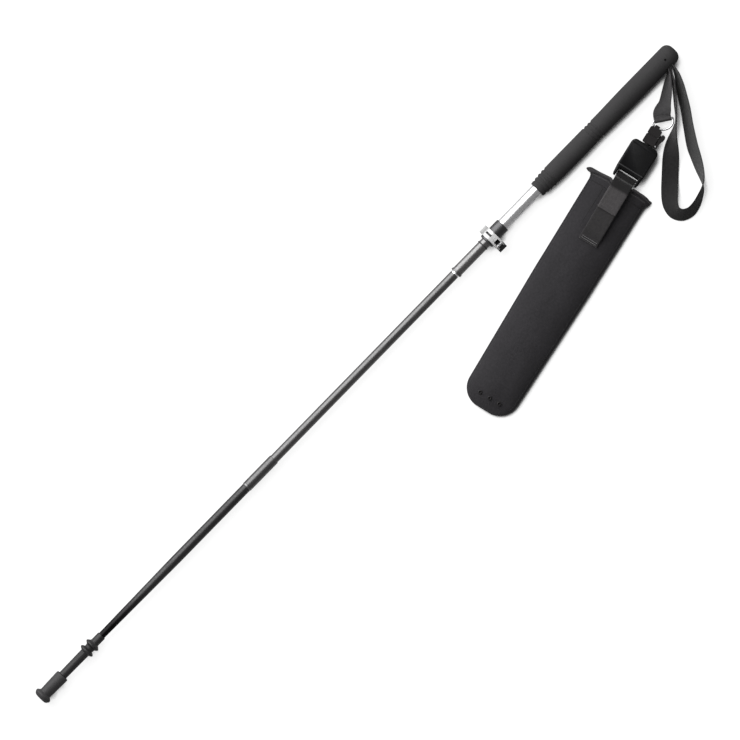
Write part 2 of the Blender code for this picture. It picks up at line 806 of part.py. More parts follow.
def make_clamp_collar(looks):
    """The black collar on the mouth of the handle tube, with a wiper lip for the upper tube."""
    neck = BAND_BORE_RADIUS - FIT
    bore = HANDLE_RADIUS + FIT
    wiper = UPPER_RADIUS + SLIDE_FIT
    profile = [
        (CLAMP_START, wiper),
        (CLAMP_START, LIP_RADIUS - 0.0012),
        (CLAMP_START + 0.0010, LIP_RADIUS),
        (CLAMP_START + LIP_LENGTH, LIP_RADIUS),
        (CLAMP_START + LIP_LENGTH, neck),
        (COLLAR_START, neck),
        (COLLAR_START, COLLAR_RADIUS),
        (COLLAR_TOP - 0.0008, COLLAR_RADIUS),
        (COLLAR_TOP, COLLAR_RADIUS - 0.0008),
        (COLLAR_TOP, bore),
        (HANDLE_START - FIT, bore),
        (HANDLE_START - FIT, wiper),
    ]
    return turned("clamp_collar", profile, looks["plastic"], 32)


def make_clamp_band(looks):
    """The split metal band with its two ears."""
    inner_angle = math.asin(EAR_GAP / BAND_BORE_RADIUS)
    outer_angle = math.asin(EAR_TOP / BAND_RADIUS)
    corner = (EAR_TOP - EAR_GAP) / 2
    inner = arc((0, 0), BAND_BORE_RADIUS, -math.pi + inner_angle, math.pi - inner_angle, 28)
    outer = arc((0, 0), BAND_RADIUS, math.pi - outer_angle, -math.pi + outer_angle, 28)
    upper_end = arc((-EAR_REACH + corner, EAR_GAP + corner), corner, math.radians(270),
                    math.radians(90), 4)
    lower_end = [(y, -z) for y, z in reversed(upper_end)]
    outline = inner + upper_end + outer + lower_end
    band = prism("clamp_band", outline, BAND_START, BAND_START + BAND_WIDTH, "X", looks["silver"])
    hole = rod_cutter("cut_ear_hole", (BAND_MIDDLE, -PIN_REACH), SCREW_RADIUS + FIT, -2 * EAR_TOP,
                      2 * EAR_TOP, "Z")
    return smooth(cut(band, hole))


def lever_outline():
    """Side view of the lever: a cam on the pin, a flat top, an arch over the tube and a finger tab."""
    inner = BAND_RADIUS + FIT
    outer = inner + LEVER_WALL
    pin = (-PIN_REACH, PIN_HEIGHT)
    cam = arc(pin, CAM_RADIUS, math.radians(-48), math.radians(-270), 16)
    top = arc((0, 0), outer, math.radians(90), math.radians(16), 8)
    tab_round = 0.0012
    tab = arc((LEVER_TAB_REACH - tab_round, -0.0006), tab_round, math.radians(50), math.radians(-100), 5)
    under = arc((0, 0), inner, math.radians(-8), math.radians(136), 14)
    return cam + top + tab + under


def make_lever(looks):
    """The bright cam lever that wraps over the clamp."""
    start = BAND_MIDDLE - LEVER_WIDTH / 2
    lever = prism("lock_lever", lever_outline(), start, start + LEVER_WIDTH, "X", looks["silver"])
    high = 2 * PIN_HEIGHT
    window = box_cutter(
        "cut_lever_window",
        (BAND_MIDDLE - WINDOW_WIDTH / 2, -PIN_REACH - 2 * CAM_RADIUS, -high),
        (BAND_MIDDLE + WINDOW_WIDTH / 2, -WINDOW_INNER_REACH, high))
    slot = box_cutter(
        "cut_lever_slot",
        (BAND_MIDDLE - SLOT_WIDTH / 2, SLOT_FROM, 0.0),
        (BAND_MIDDLE + SLOT_WIDTH / 2, SLOT_TO, high))
    bore = rod_cutter("cut_lever_pin_hole", (-PIN_REACH, PIN_HEIGHT), PIN_RADIUS + FIT,
                      start - LEVER_WIDTH, start + 2 * LEVER_WIDTH, "X")
    return smooth(cut(lever, window, slot, bore))


def make_lever_pin(looks):
    """The barrel that the lever turns on, cross-drilled for the clamp screw."""
    start = BAND_MIDDLE - LEVER_WIDTH / 2
    outline = arc((-PIN_REACH, PIN_HEIGHT), PIN_RADIUS, 0.0, 2 * math.pi, 20)[:-1]
    pin = prism("lever_pin", outline, start, start + LEVER_WIDTH, "X", looks["steel"])
    hole = rod_cutter("cut_barrel_hole", (BAND_MIDDLE, -PIN_REACH), SCREW_RADIUS + FIT, 0.0,
                      2 * PIN_HEIGHT, "Z", 16)
    return smooth(cut(pin, hole))


def make_clamp_screw(looks):
    """The screw that pulls the ears together and ends in the barrel."""
    low = -EAR_TOP - FIT - SCREW_HEAD_HEIGHT
    top = PIN_HEIGHT + PIN_RADIUS + FIT
    recess = SCREW_HEAD_RADIUS * 0.5
    profile = [
        (low + SCREW_HEAD_HEIGHT / 2, 0.0),
        (low + SCREW_HEAD_HEIGHT / 2, recess),
        (low, recess),
        (low, SCREW_HEAD_RADIUS),
        (-EAR_TOP - FIT, SCREW_HEAD_RADIUS),
        (-EAR_TOP - FIT, SCREW_RADIUS),
        (top, SCREW_RADIUS),
        (top, 0.0),
    ]
    screw = turned("clamp_screw", profile, looks["steel"], 16)
    screw.matrix_world = (Matrix.Translation((BAND_MIDDLE, -PIN_REACH, 0))
                          @ Matrix.Rotation(-math.pi / 2, 4, "Y"))
    return screw


# Handle

def make_handle_tube(looks):
    """The polished handle tube with its clamping slit."""
    handle = tube("handle_tube", HANDLE_START, HANDLE_TOP, HANDLE_RADIUS, HANDLE_BORE,
                  looks["silver"], 32)
    slit = box_cutter("cut_relief_slit", (HANDLE_START - FIT, -2 * HANDLE_RADIUS, -RELIEF_SLIT / 2),
                      (HANDLE_START + RELIEF_LENGTH, 0.0, RELIEF_SLIT / 2))
    return smooth(cut(handle, slit))


def grip_radius(place):
    """Radius of the plain grip at a share of its length, fuller toward the top."""
    share = (place - GRIP_START) / GRIP_LENGTH
    if share < 0.10:
        return GRIP_BOTTOM_RADIUS + (GRIP_WAIST_RADIUS - GRIP_BOTTOM_RADIUS) * math.sin(share / 0.10 * math.pi / 2)
    if share < 0.45:
        return GRIP_WAIST_RADIUS
    swell = min(1.0, (share - 0.45) / 0.25)
    return GRIP_WAIST_RADIUS + (GRIP_TOP_RADIUS - GRIP_WAIST_RADIUS) * (1 - math.cos(swell * math.pi)) / 2


def grooves(first, count, pitch, depth):
    """Points of a run of round-bottomed grooves cut into the grip."""
    points = []
    for index in range(count):
        middle = first + index * pitch
        for offset, share in ((-0.32, 0.0), (-0.08, 1.0), (0.08, 1.0), (0.32, 0.0)):
            place = middle + offset * pitch
            points.append((place, grip_radius(place) - depth * share))
    return points


def make_grip(looks):
    """The foam grip: ribs at the foot end, three grooves, a full top and a rounded end."""
    ribs = grooves(GRIP_START + RIB_PITCH, RIB_COUNT, RIB_PITCH, RIB_DEPTH)
    middle = grooves(GRIP_START + GROOVES_FROM, GROOVE_COUNT, GROOVE_PITCH, GROOVE_DEPTH)
    plain = [GRIP_START + GRIP_LENGTH * share for share in (0.18, 0.56, 0.63, 0.72)]
    crown = arc((GRIP_TOP - GRIP_TOP_ROUND, GRIP_TOP_RADIUS - GRIP_TOP_ROUND),
                GRIP_TOP_ROUND, math.radians(90), 0.0, 6)
    bore = HANDLE_RADIUS + FIT
    hollow_end = GRIP_TOP - GRIP_END_WALL
    profile = [
        (GRIP_START, bore),
        (GRIP_START, GRIP_BOTTOM_RADIUS - 0.0010),
        (GRIP_START + 0.0010, GRIP_BOTTOM_RADIUS),
        *ribs,
        (plain[0], grip_radius(plain[0])),
        *middle,
        *[(place, grip_radius(place)) for place in plain[1:]],
        *crown,
        (GRIP_TOP, 0.0),
        (hollow_end, 0.0),
        (hollow_end, ANCHOR_RADIUS + FIT),
        (HANDLE_TOP, ANCHOR_RADIUS + FIT),
        (HANDLE_TOP, bore),
    ]
    grip = turned("grip_foam", profile, looks["foam"], 26)
    mouth = box_cutter(
        "cut_grip_slot",
        (STRAP_X - TETHER_OFFSET - 2 * WEB_THICKNESS, -2 * GRIP_TOP_RADIUS, -SLOT_HALF_HEIGHT),
        (STRAP_X + STRAND_OFFSET + WEB_THICKNESS, -ANCHOR_RADIUS * 0.6, SLOT_HALF_HEIGHT))
    dimple = rod_cutter("cut_grip_dimple", (STRAP_X, -STRAP_PIN_DEPTH), STRAP_PIN_RADIUS,
                        ANCHOR_RADIUS * 0.6, 2 * GRIP_TOP_RADIUS, "Z", 12)
    return smooth(cut(grip, mouth, dimple), 50)


def make_grip_anchor(looks):
    """The moulded plug in the top of the handle tube, slotted and cross-drilled for the straps."""
    head_end = GRIP_TOP - GRIP_END_WALL - FIT
    stem = HANDLE_BORE - FIT
    profile = [
        (HANDLE_TOP - ANCHOR_STEM, 0.0),
        (HANDLE_TOP - ANCHOR_STEM, stem - 0.0008),
        (HANDLE_TOP - ANCHOR_STEM + 0.0008, stem),
        (HANDLE_TOP + FIT, stem),
        (HANDLE_TOP + FIT, ANCHOR_RADIUS),
        (head_end, ANCHOR_RADIUS),
        (head_end, 0.0),
    ]
    anchor = turned("grip_anchor", profile, looks["plastic"], 28)
    room = STRAND_OFFSET + WEB_THICKNESS / 2 + FIT
    slot = box_cutter(
        "cut_anchor_slot",
        (STRAP_X - TETHER_OFFSET - WEB_THICKNESS / 2 - 3 * FIT, -2 * ANCHOR_RADIUS, -SLOT_HALF_HEIGHT),
        (STRAP_X + room, -STRAP_PIN_DEPTH + room, SLOT_HALF_HEIGHT))
    bore = rod_cutter("cut_anchor_bore", (STRAP_X, -STRAP_PIN_DEPTH), STRAP_PIN_RADIUS + FIT,
                      -ANCHOR_RADIUS * 0.9, 2 * ANCHOR_RADIUS, "Z", 14)
    return smooth(cut(anchor, slot, bore))


def make_strap_pin(looks):
    """The pin across the anchor that the straps go round."""
    low = -ANCHOR_RADIUS * 0.9 + FIT
    high = ANCHOR_RADIUS * 0.9
    outline = arc((STRAP_X, -STRAP_PIN_DEPTH), STRAP_PIN_RADIUS, 0.0, 2 * math.pi, 14)[:-1]
    return smooth(prism("strap_pin", outline, low, high, "Z", looks["steel"]))


# Straps

def band_stations(route, steps):
    """Stations of a band whose route gives each place as x, y, z with its tilt and width."""
    places = between([Vector((x, y, z)) for x, y, z, tilt, width in route], steps)
    forms = between([Vector((tilt, width, 0.0)) for x, y, z, tilt, width in route], steps)
    stations = []
    last = len(places) - 1
    for index, place in enumerate(places):
        along = places[min(index + 1, last)] - places[max(index - 1, 0)]
        flat = Vector((-along.y, along.x, 0.0)).normalized()
        tilt = math.radians(forms[index].x)
        across = flat * math.cos(tilt) + Vector((0.0, 0.0, math.sin(tilt)))
        stations.append((place, across, forms[index].y))
    return stations


def lying(tilt, width):
    """Height of a band's middle when its lower edge rests on the floor."""
    angle = math.radians(tilt)
    return FLOOR + FIT + abs(math.sin(angle)) * width / 2 + abs(math.cos(angle)) * WEB_THICKNESS / 2


def make_wrist_strap(looks):
    """The endless wrist strap: round the pin, out of the grip and through a half turn and back."""
    gathered = GATHERED_WIDTH
    loop = [
        (-0.0468, -0.2212, 68), (-0.0903, -0.2880, 62), (-0.1577, -0.3955, 60), (-0.2384, -0.5053, 58),
        (-0.3281, -0.6362, 53), (-0.3721, -0.7187, 56), (-0.4184, -0.8045, 64), (-0.4652, -0.8830, 80),
        (-0.5153, -0.9359, 100), (-0.5866, -0.9721, 112), (-0.6518, -0.9944, 120), (-0.7187, -1.0000, 126),
        (-0.7799, -0.9721, 132), (-0.8078, -0.9192, 138), (-0.7967, -0.8635, 148), (-0.7632, -0.8134, 160),
        (-0.7008, -0.7510, 172), (-0.6234, -0.6813, 180), (-0.5398, -0.6061, 172), (-0.4557, -0.5337, 142),
        (-0.3861, -0.4791, 114), (-0.3231, -0.4373, 96), (-0.2663, -0.3967, 90), (-0.1772, -0.2981, 94),
        (-0.0930, -0.2033, 96),
    ]
    route = [
        (STRAP_X + STRAND_OFFSET, -STRAP_PIN_DEPTH, 0.0, 90, gathered),
        (STRAP_X + STRAND_OFFSET, -ANCHOR_RADIUS * 0.75, 0.0, 90, gathered),
        (STRAP_X + STRAND_OFFSET - 0.0003, -GRIP_TOP_RADIUS - 0.0010, 0.0, 88, gathered + 0.0005),
        (STRAP_X - 0.0010, -0.1476 * LOOP_DROP, -0.0015, 76, gathered + 0.0040),
    ]
    for x, y, tilt in loop:
        route.append((STRAP_X + x * LOOP_DROP, y * LOOP_DROP, lying(tilt, STRAP_WIDTH), tilt, STRAP_WIDTH))
    route += [
        (STRAP_X - 0.0078, -0.1309 * LOOP_DROP, -0.0015, 94, gathered + 0.0030),
        (STRAP_X - STRAND_OFFSET - 0.0004, -GRIP_TOP_RADIUS, 0.0, 90, gathered),
        (STRAP_X - STRAND_OFFSET, -ANCHOR_RADIUS * 0.7, 0.0, 90, gathered),
        (STRAP_X - STRAND_OFFSET, -STRAP_PIN_DEPTH, 0.0, 90, gathered),
    ]
    stations = band_stations(route, 2)
    up = Vector((0.0, 0.0, 1.0))
    for angle in (150, 120, 90, 60, 30):
        turn = math.radians(angle)
        stations.append((Vector((STRAP_X + STRAND_OFFSET * math.cos(turn),
                                 -STRAP_PIN_DEPTH + STRAND_OFFSET * math.sin(turn), 0.0)), up, gathered))
    return ribbon("wrist_strap", stations, WEB_THICKNESS, looks["webbing"], closed=True)


def ring_matrix():
    """Place and turn of the metal ring, whose bar lies along its own X."""
    return Matrix.Translation((RING_X, RING_Y, CHAIN_Z)) @ Matrix.Rotation(RING_TURN, 4, "Z")


def make_tether_webbing(looks):
    """The short webbing from the grip to the ring, hemmed round the ring's bar."""
    gathered = GATHERED_WIDTH
    width = TETHER_WIDTH
    frame = ring_matrix()
    across = (frame.to_3x3() @ Vector((1.0, 0.0, 0.0))).normalized()
    centre_line = RING_WIRE + FIT + WEB_THICKNESS / 2
    lift = WEB_THICKNESS / 2 + FIT / 2
    hem = 0.0110
    curl = [(0.0, hem, lift), (0.0, hem * 0.5, lift)]
    for angle in (90, 45, 0, -45, -90):
        turn = math.radians(angle)
        curl.append((0.0, -centre_line * math.cos(turn), centre_line * math.sin(turn)))
    curl += [(0.0, hem * 0.5, -lift), (0.0, hem, -lift)]
    start = STRAP_X - TETHER_OFFSET
    route = [
        (start, STRAP_PIN_DEPTH - STRAP_PIN_RADIUS, 0.0, 90, gathered),
        (start, -ANCHOR_RADIUS * 0.9, 0.0, 90, gathered),
        (start - 0.0010, -GRIP_TOP_RADIUS, 0.0, 88, gathered),
        (start - 0.0040, -GRIP_TOP_RADIUS - 0.0042, -0.0010, 80, gathered + 0.0010),
        (start - 0.0130, -0.0262, -0.0020, 62, width - 0.0030),
        (start - 0.0250, -0.0350, -0.0030, 46, width),
        (start - 0.0400, -0.0455, -0.0038, 22, width),
    ]
    places = [frame @ Vector(point) for point in curl]
    route.append((*places[0], 0, width))
    stations = band_stations(route, 2)[:-1]
    stations += [(place, across, width) for place in between(places, 2)]
    return ribbon("tether_webbing", stations, WEB_THICKNESS, looks["webbing"])


def bow_point(angle):
    """A point on the middle of the ring's bow, in the ring's own frame."""
    across = RING_HALF_WIDTH * math.cos(angle)
    return Vector((across, -RING_LEG - (RING_DEPTH - RING_LEG) * math.sin(angle), 0.0))


def make_d_ring(looks):
    """The polished metal ring: a straight bar with a half-round bow."""
    corner = RING_HALF_WIDTH - RING_CORNER
    points = [Vector((-corner, 0.0, 0.0)), Vector((corner, 0.0, 0.0)),
              Vector((RING_HALF_WIDTH, -RING_CORNER, 0.0))]
    points += [bow_point(math.pi * step / 14) for step in range(15)]
    points.append(Vector((-RING_HALF_WIDTH, -RING_CORNER, 0.0)))
    ring = wire("d_ring", points, RING_WIRE, looks["silver"], (0.0, 0.0, 1.0), closed=True)
    ring.matrix_world = ring_matrix()
    return ring


# Tether chain, built along its own X and then turned beside the grip

def chain_matrix():
    """Place and turn of the tether, whose own X runs from the ring to the holster.

    The eye of the quick release holds the bow where the bow runs square to the tether."""
    turn = CHAIN_TURN - RING_TURN
    held = math.atan2(-(RING_DEPTH - RING_LEG) * math.sin(turn), RING_HALF_WIDTH * math.cos(turn))
    eye = ring_matrix() @ bow_point(held)
    along = Matrix.Rotation(CHAIN_TURN, 4, "Z")
    return Matrix.Translation(eye - along @ Vector((EYE_PLACE, 0.0, 0.0))) @ along


def rounded(low, high, radius, steps=4):
    """A rectangle with round corners between two opposite corners."""
    points = []
    corners = [
        ((high[0] - radius, high[1] - radius), 0), ((low[0] + radius, high[1] - radius), 90),
        ((low[0] + radius, low[1] + radius), 180), ((high[0] - radius, low[1] + radius), 270),
    ]
    for centre, angle in corners:
        points += arc(centre, radius, math.radians(angle), math.radians(angle + 90), steps)
    return points


def make_release_plug(looks):
    """The half of the quick release that hangs on the ring: a grooved body, an eye and a tongue."""
    eye_outer = EYE_RADIUS + EYE_WALL
    half = CLIP_HEIGHT / 2
    low = CLIP_SIDE - CLIP_WIDTH / 2
    high = CLIP_SIDE + CLIP_WIDTH / 2
    round_off = 0.0022
    body = prism("release_plug", rounded((PLUG_BODY_START, low), (PLUG_BODY_END, high), round_off),
                 -half, half, "Z", looks["plastic"])
    neck = PLUG_BODY_START + 0.0030
    eye = arc((EYE_PLACE, 0.0), eye_outer, math.radians(80), math.radians(280), 10)
    eye += [(neck, -eye_outer), (neck, eye_outer)]
    tongue = rounded((PLUG_BODY_END - 0.0020, CLIP_SIDE - TONGUE_WIDTH / 2),
                     (PLUG_BODY_END + TONGUE_LENGTH, CLIP_SIDE + TONGUE_WIDTH / 2), 0.0012, 2)
    join(body, prism("plug_eye", eye, -EYE_WIDTH / 2, EYE_WIDTH / 2, "Y", None),
         prism("plug_tongue", tongue, -TONGUE_HEIGHT / 2, TONGUE_HEIGHT / 2, "Z", None))
    hole = rod_cutter("cut_plug_eye", (EYE_PLACE, 0.0), EYE_RADIUS, -CLIP_WIDTH, CLIP_WIDTH, "Y", 16)
    return smooth(cut(body, hole))


def join(piece, *others):
    """Unite other solids with a piece into one body."""
    for other in others:
        modifier = piece.modifiers.new("join_" + other.name, "BOOLEAN")
        modifier.operation = "UNION"
        modifier.solver = "EXACT"
        modifier.object = guide(other)
    return piece


def latch_pivot():
    """Where the latch turns, beside the socket."""
    return (CLIP_SOCKET_END - 0.0022, CLIP_SIDE + CLIP_WIDTH / 2 + 0.0020)


def make_release_socket(looks):
    """The half of the quick release on the line: a shell with a slot for the tongue and two lugs."""
    half = CLIP_HEIGHT / 2
    low = CLIP_SIDE - CLIP_WIDTH / 2
    high = CLIP_SIDE + CLIP_WIDTH / 2
    shell = prism("release_socket", rounded((CLIP_SOCKET_START, low), (CLIP_SOCKET_END, high), 0.0020),
                  -half, half, "Z", looks["plastic"])
    pivot = latch_pivot()
    lug = rounded((pivot[0] - 0.0020, high - 0.0010), (pivot[0] + 0.0020, pivot[1] + 0.0022), 0.0015, 3)
    level = half - FIT
    join(shell, prism("socket_lug_top", lug, level - LUG_HEIGHT, level, "Z", None),
         prism("socket_lug_bottom", lug, -level, -level + LUG_HEIGHT, "Z", None))
    depth = TONGUE_LENGTH + 2 * FIT
    slot = box_cutter(
        "cut_socket_slot",
        (CLIP_SOCKET_START - FIT, CLIP_SIDE - TONGUE_WIDTH / 2 - FIT, -TONGUE_HEIGHT / 2 - FIT),
        (CLIP_SOCKET_START + depth, CLIP_SIDE + TONGUE_WIDTH / 2 + FIT, TONGUE_HEIGHT / 2 + FIT))
    pin_hole = rod_cutter("cut_lug_hole", pivot, LATCH_PIN_RADIUS + FIT, -CLIP_HEIGHT, CLIP_HEIGHT, "Z", 14)
    return smooth(cut(shell, slot, pin_hole))


def make_release_latch(looks):
    """The side lever that is squeezed to part the quick release."""
    pivot = latch_pivot()
    side = CLIP_SIDE + CLIP_WIDTH / 2 + FIT
    tip = pivot[0] - LATCH_LENGTH
    gap = (LATCH_LENGTH - 0.0020) * math.tan(LATCH_TRAVEL) + FIT
    outline = [
        (pivot[0] + 0.0018, side), (pivot[0] + 0.0024, pivot[1]), (pivot[0] + 0.0016, side + LATCH_WIDTH),
        (tip + 0.0080, side + LATCH_WIDTH + 0.0008), (tip + 0.0040, side + LATCH_REACH),
        (tip + 0.0024, side + LATCH_REACH), (tip + 0.0012, side + LATCH_REACH - 0.0014),
        (tip, side + gap + 0.0008), (tip + 0.0004, side + gap), (pivot[0] - 0.0020, side),
    ]
    latch = prism("release_latch", outline, -LATCH_HEIGHT / 2, LATCH_HEIGHT / 2, "Z", looks["plastic"])
    hole = rod_cutter("cut_latch_hole", pivot, LATCH_PIN_RADIUS + FIT, -CLIP_HEIGHT, CLIP_HEIGHT, "Z", 14)
    return smooth(cut(latch, hole))


def make_latch_pin(looks):
    """The small pin that the latch turns on."""
    outline = arc(latch_pivot(), LATCH_PIN_RADIUS, 0.0, 2 * math.pi, 14)[:-1]
    return prism("latch_pin", outline, -CLIP_HEIGHT / 2, CLIP_HEIGHT / 2, "Z", looks["steel"])


def arm_inside():
    """How far from the middle the inner face of an arm stands."""
    return CASE_WIDTH / 2 - 0.0010 - ARM_WIDTH


def case_outline():
    """Plan of the retractor case: round shoulders and two arms that hold the bar."""
    half = CASE_WIDTH / 2
    arm_inner = arm_inside()
    arm_end = CASE_END + ARM_LENGTH
    shoulder = arc((CASE_START + CASE_ROUND, half - CASE_ROUND), CASE_ROUND, math.radians(180),
                   math.radians(90), 5)
    side = [
        (CASE_END - 0.0030, half), (arm_end - 0.0040, arm_inner + ARM_WIDTH), (arm_end, arm_inner + ARM_WIDTH * 0.7),
        (arm_end, arm_inner), (CASE_END + 0.0015, arm_inner), (CASE_END, arm_inner - 0.0015),
    ]
    upper = shoulder + side
    lower = [(place, -across) for place, across in reversed(upper)]
    return upper + lower


def make_case_half(name, sign, looks):
    """One half of the retractor case: a bevelled shell with the spool's hollow and the bar's seats."""
    half_height = CASE_HEIGHT / 2
    outline = case_outline()
    mesh = bmesh.new()
    levels = [(FIT / 2, 0.0), (half_height - CASE_BEVEL, 0.0), (half_height, CASE_BEVEL)]
    arm_drop = half_height - ARM_HEIGHT / 2
    rings = []
    for height, inset in levels:
        ring = []
        for place, across in outline:
            shrink = 1 - inset / (CASE_WIDTH / 2)
            past = max(0.0, min(1.0, (place - CASE_END + 0.0030) / (ARM_LENGTH + 0.0030)))
            level = height if height < half_height / 2 else height - arm_drop * past
            near = CASE_START + CASE_LENGTH / 2
            side = across * (2 - shrink if abs(across) <= arm_inside() else shrink)
            ring.append(mesh.verts.new((near + (place - near) * shrink, side, sign * level)))
        rings.append(ring)
    count = len(outline)
    for near_ring, far_ring in zip(rings, rings[1:]):
        for corner in range(count):
            after = (corner + 1) % count
            mesh.faces.new((near_ring[corner], near_ring[after], far_ring[after], far_ring[corner]))
    mesh.faces.new(rings[0])
    mesh.faces.new(rings[-1])
    bmesh.ops.triangulate(mesh, faces=[face for face in mesh.faces if len(face.verts) > 4])
    shell = add_object(name, mesh, looks["plastic"])
    low, high = sorted((-sign * FIT, sign * (half_height - CASE_WALL)))
    hollow = rod_cutter("cut_hollow_" + name, (SPOOL_PLACE, 0.0), CAVITY_RADIUS, low, high, "Z", 32)
    bar = rod_cutter("cut_bar_" + name, (BAR_PLACE, 0.0), BAR_RADIUS + FIT, -bar_half() - FIT,
                     bar_half() + FIT, "Y", 16)
    throat = rod_cutter("cut_throat_" + name, (0.0, 0.0), NOZZLE_RADIUS + FIT, CASE_START - 0.0040,
                        CASE_START + NOZZLE_LENGTH + 0.0020, "X", 18)
    cutters = [hollow, bar, throat]
    for side in (-1, 1):
        screw_place = (SPOOL_PLACE - 0.0180, side * 0.0155)
        cutters.append(rod_cutter("cut_screw_%s_%d" % (name, side), screw_place, CASE_SCREW_RADIUS + FIT,
                                  -CASE_HEIGHT, half_height - 2 * CASE_WALL, "Z", 12))
        if sign < 0:
            cutters.append(rod_cutter("cut_sink_%s_%d" % (name, side), screw_place, CASE_SCREW_HEAD + FIT,
                                      -CASE_HEIGHT, -half_height + 0.0020, "Z", 14))
    return cut(shell, *cutters)


def bar_half():
    """Half the length of the strap bar, which ends inside the arms."""
    return CASE_WIDTH / 2 - 0.0020


def make_case_screw(name, side, looks):
    """A countersunk screw that holds the two case halves, driven from the back."""
    head_bottom = -CASE_HEIGHT / 2 + 0.0004
    head_top = -CASE_HEIGHT / 2 + 0.0020 - FIT
    end = CASE_HEIGHT / 2 - 2 * CASE_WALL - FIT
    profile = [
        (head_bottom + 0.0007, 0.0), (head_bottom + 0.0007, CASE_SCREW_HEAD * 0.4),
        (head_bottom, CASE_SCREW_HEAD * 0.4), (head_bottom, CASE_SCREW_HEAD), (head_top, CASE_SCREW_HEAD),
        (head_top, CASE_SCREW_RADIUS), (end, CASE_SCREW_RADIUS), (end, 0.0),
    ]
    screw = turned(name, profile, looks["steel"], 12)
    screw.matrix_world = (Matrix.Translation((SPOOL_PLACE - 0.0180, side * 0.0155, 0.0))
                          @ Matrix.Rotation(-math.pi / 2, 4, "Y"))
    return screw


def make_strap_bar(looks):
    """The bright bar that the holster's webbing is looped round."""
    outline = arc((BAR_PLACE, 0.0), BAR_RADIUS, 0.0, 2 * math.pi, 16)[:-1]
    return smooth(prism("strap_bar", outline, -bar_half(), bar_half(), "Y", looks["silver"]))


def make_nozzle(looks):
    """The bush that guides the line out of the case."""
    flange = CASE_START - FIT
    profile = [
        (flange - NOZZLE_FLANGE, LINE_RADIUS + 2 * FIT),
        (flange - NOZZLE_FLANGE, NOZZLE_RADIUS + 0.0006),
        (flange, NOZZLE_RADIUS + 0.0010),
        (flange, NOZZLE_RADIUS),
        (CASE_START + NOZZLE_LENGTH, NOZZLE_RADIUS),
        (CASE_START + NOZZLE_LENGTH, LINE_RADIUS + 2 * FIT),
    ]
    return turned("line_nozzle", profile, looks["plastic"], 18)


def make_spool(looks):
    """The spool with the wound line between its flanges."""
    half = SPOOL_HEIGHT / 2
    profile = [
        (-half, AXLE_RADIUS + FIT), (-half, SPOOL_RADIUS), (-half + SPOOL_FLANGE, SPOOL_RADIUS),
        (-half + SPOOL_FLANGE, LINE_PACK_RADIUS), (half - SPOOL_FLANGE, LINE_PACK_RADIUS),
        (half - SPOOL_FLANGE, SPOOL_RADIUS), (half, SPOOL_RADIUS), (half, AXLE_RADIUS + FIT),
    ]
    spool = turned("line_spool", profile, looks["plastic"], 22)
    spool.matrix_world = Matrix.Translation((SPOOL_PLACE, 0.0, 0.0)) @ Matrix.Rotation(-math.pi / 2, 4, "Y")
    return spool


def make_axle(looks):
    """The steel axle between the floors of the two case halves."""
    half = CASE_HEIGHT / 2 - CASE_WALL - FIT
    profile = [(-half, 0.0), (-half, AXLE_RADIUS), (half, AXLE_RADIUS), (half, 0.0)]
    axle = turned("spool_axle", profile, looks["steel"], 16)
    axle.matrix_world = Matrix.Translation((SPOOL_PLACE, 0.0, 0.0)) @ Matrix.Rotation(-math.pi / 2, 4, "Y")
    return axle


def make_power_spring(looks):
    """The flat spiral spring that winds the line back in."""
    outer = []
    inner = []
    steps = COIL_TURNS * 12
    for step in range(steps + 1):
        angle = 2 * math.pi * step / 12
        radius = COIL_INNER + (COIL_OUTER - COIL_INNER) * step / steps
        direction = (math.cos(angle), math.sin(angle))
        outer.append((SPOOL_PLACE + (radius + COIL_THICKNESS) * direction[0],
                      (radius + COIL_THICKNESS) * direction[1]))
        inner.append((SPOOL_PLACE + radius * direction[0], radius * direction[1]))
    low = -CASE_HEIGHT / 2 + CASE_WALL + FIT
    return spiral_body("power_spring", outer, inner, low, low + COIL_HEIGHT, looks["steel"])


def spiral_body(name, outer, inner, low, high, material):
    """A flat strip on edge, built ring by ring so that its ends stay closed."""
    rings = []
    for far, near in zip(outer, inner):
        rings.append([(*near, low), (*far, low), (*far, high), (*near, high)])
    return loft(name, rings, material)


def make_tether_line(looks):
    """The line from the spool through the nozzle to the quick release."""
    wound = LINE_PACK_RADIUS + LINE_RADIUS + FIT
    leave = CASE_START + NOZZLE_LENGTH + 0.0020
    meets = math.pi - math.acos(wound / (SPOOL_PLACE - leave))
    points = []
    for angle in (meets - 0.9, meets - 0.6, meets - 0.3, meets):
        points.append(Vector((SPOOL_PLACE + wound * math.cos(angle), wound * math.sin(angle), 0.0)))
    points += [
        Vector((leave, 0.0, 0.0)),
        Vector((CASE_START + NOZZLE_LENGTH * 0.7, 0.0, 0.0)),
        Vector((CLIP_SOCKET_END + FIT, 0.0, 0.0)),
    ]
    return wire("tether_line", between(points, 2), LINE_RADIUS, looks["cord"], (0.0, 0.0, 1.0), sides=6)


# Holster

def holster_half_width(place):
    """Half the width of the holster at a place along it."""
    along = place - HOLSTER_START
    if along < FLARE_LENGTH:
        flare = (1 - along / FLARE_LENGTH) ** 2
        return NECK_HALF_WIDTH + (MOUTH_HALF_WIDTH - NECK_HALF_WIDTH) * flare
    share = (along - FLARE_LENGTH) / (HOLSTER_LENGTH - FLARE_LENGTH)
    width = NECK_HALF_WIDTH + (HOLSTER_HALF_WIDTH - NECK_HALF_WIDTH) * min(1.0, share * 3)
    if share > 0.4:
        width = HOLSTER_HALF_WIDTH + (BOTTOM_HALF_WIDTH - HOLSTER_HALF_WIDTH) * (share - 0.4) / 0.6
    left = HOLSTER_LENGTH - along
    if left < BOTTOM_ROUND:
        width -= BOTTOM_ROUND - math.sqrt(BOTTOM_ROUND ** 2 - (BOTTOM_ROUND - left) ** 2)
    return width


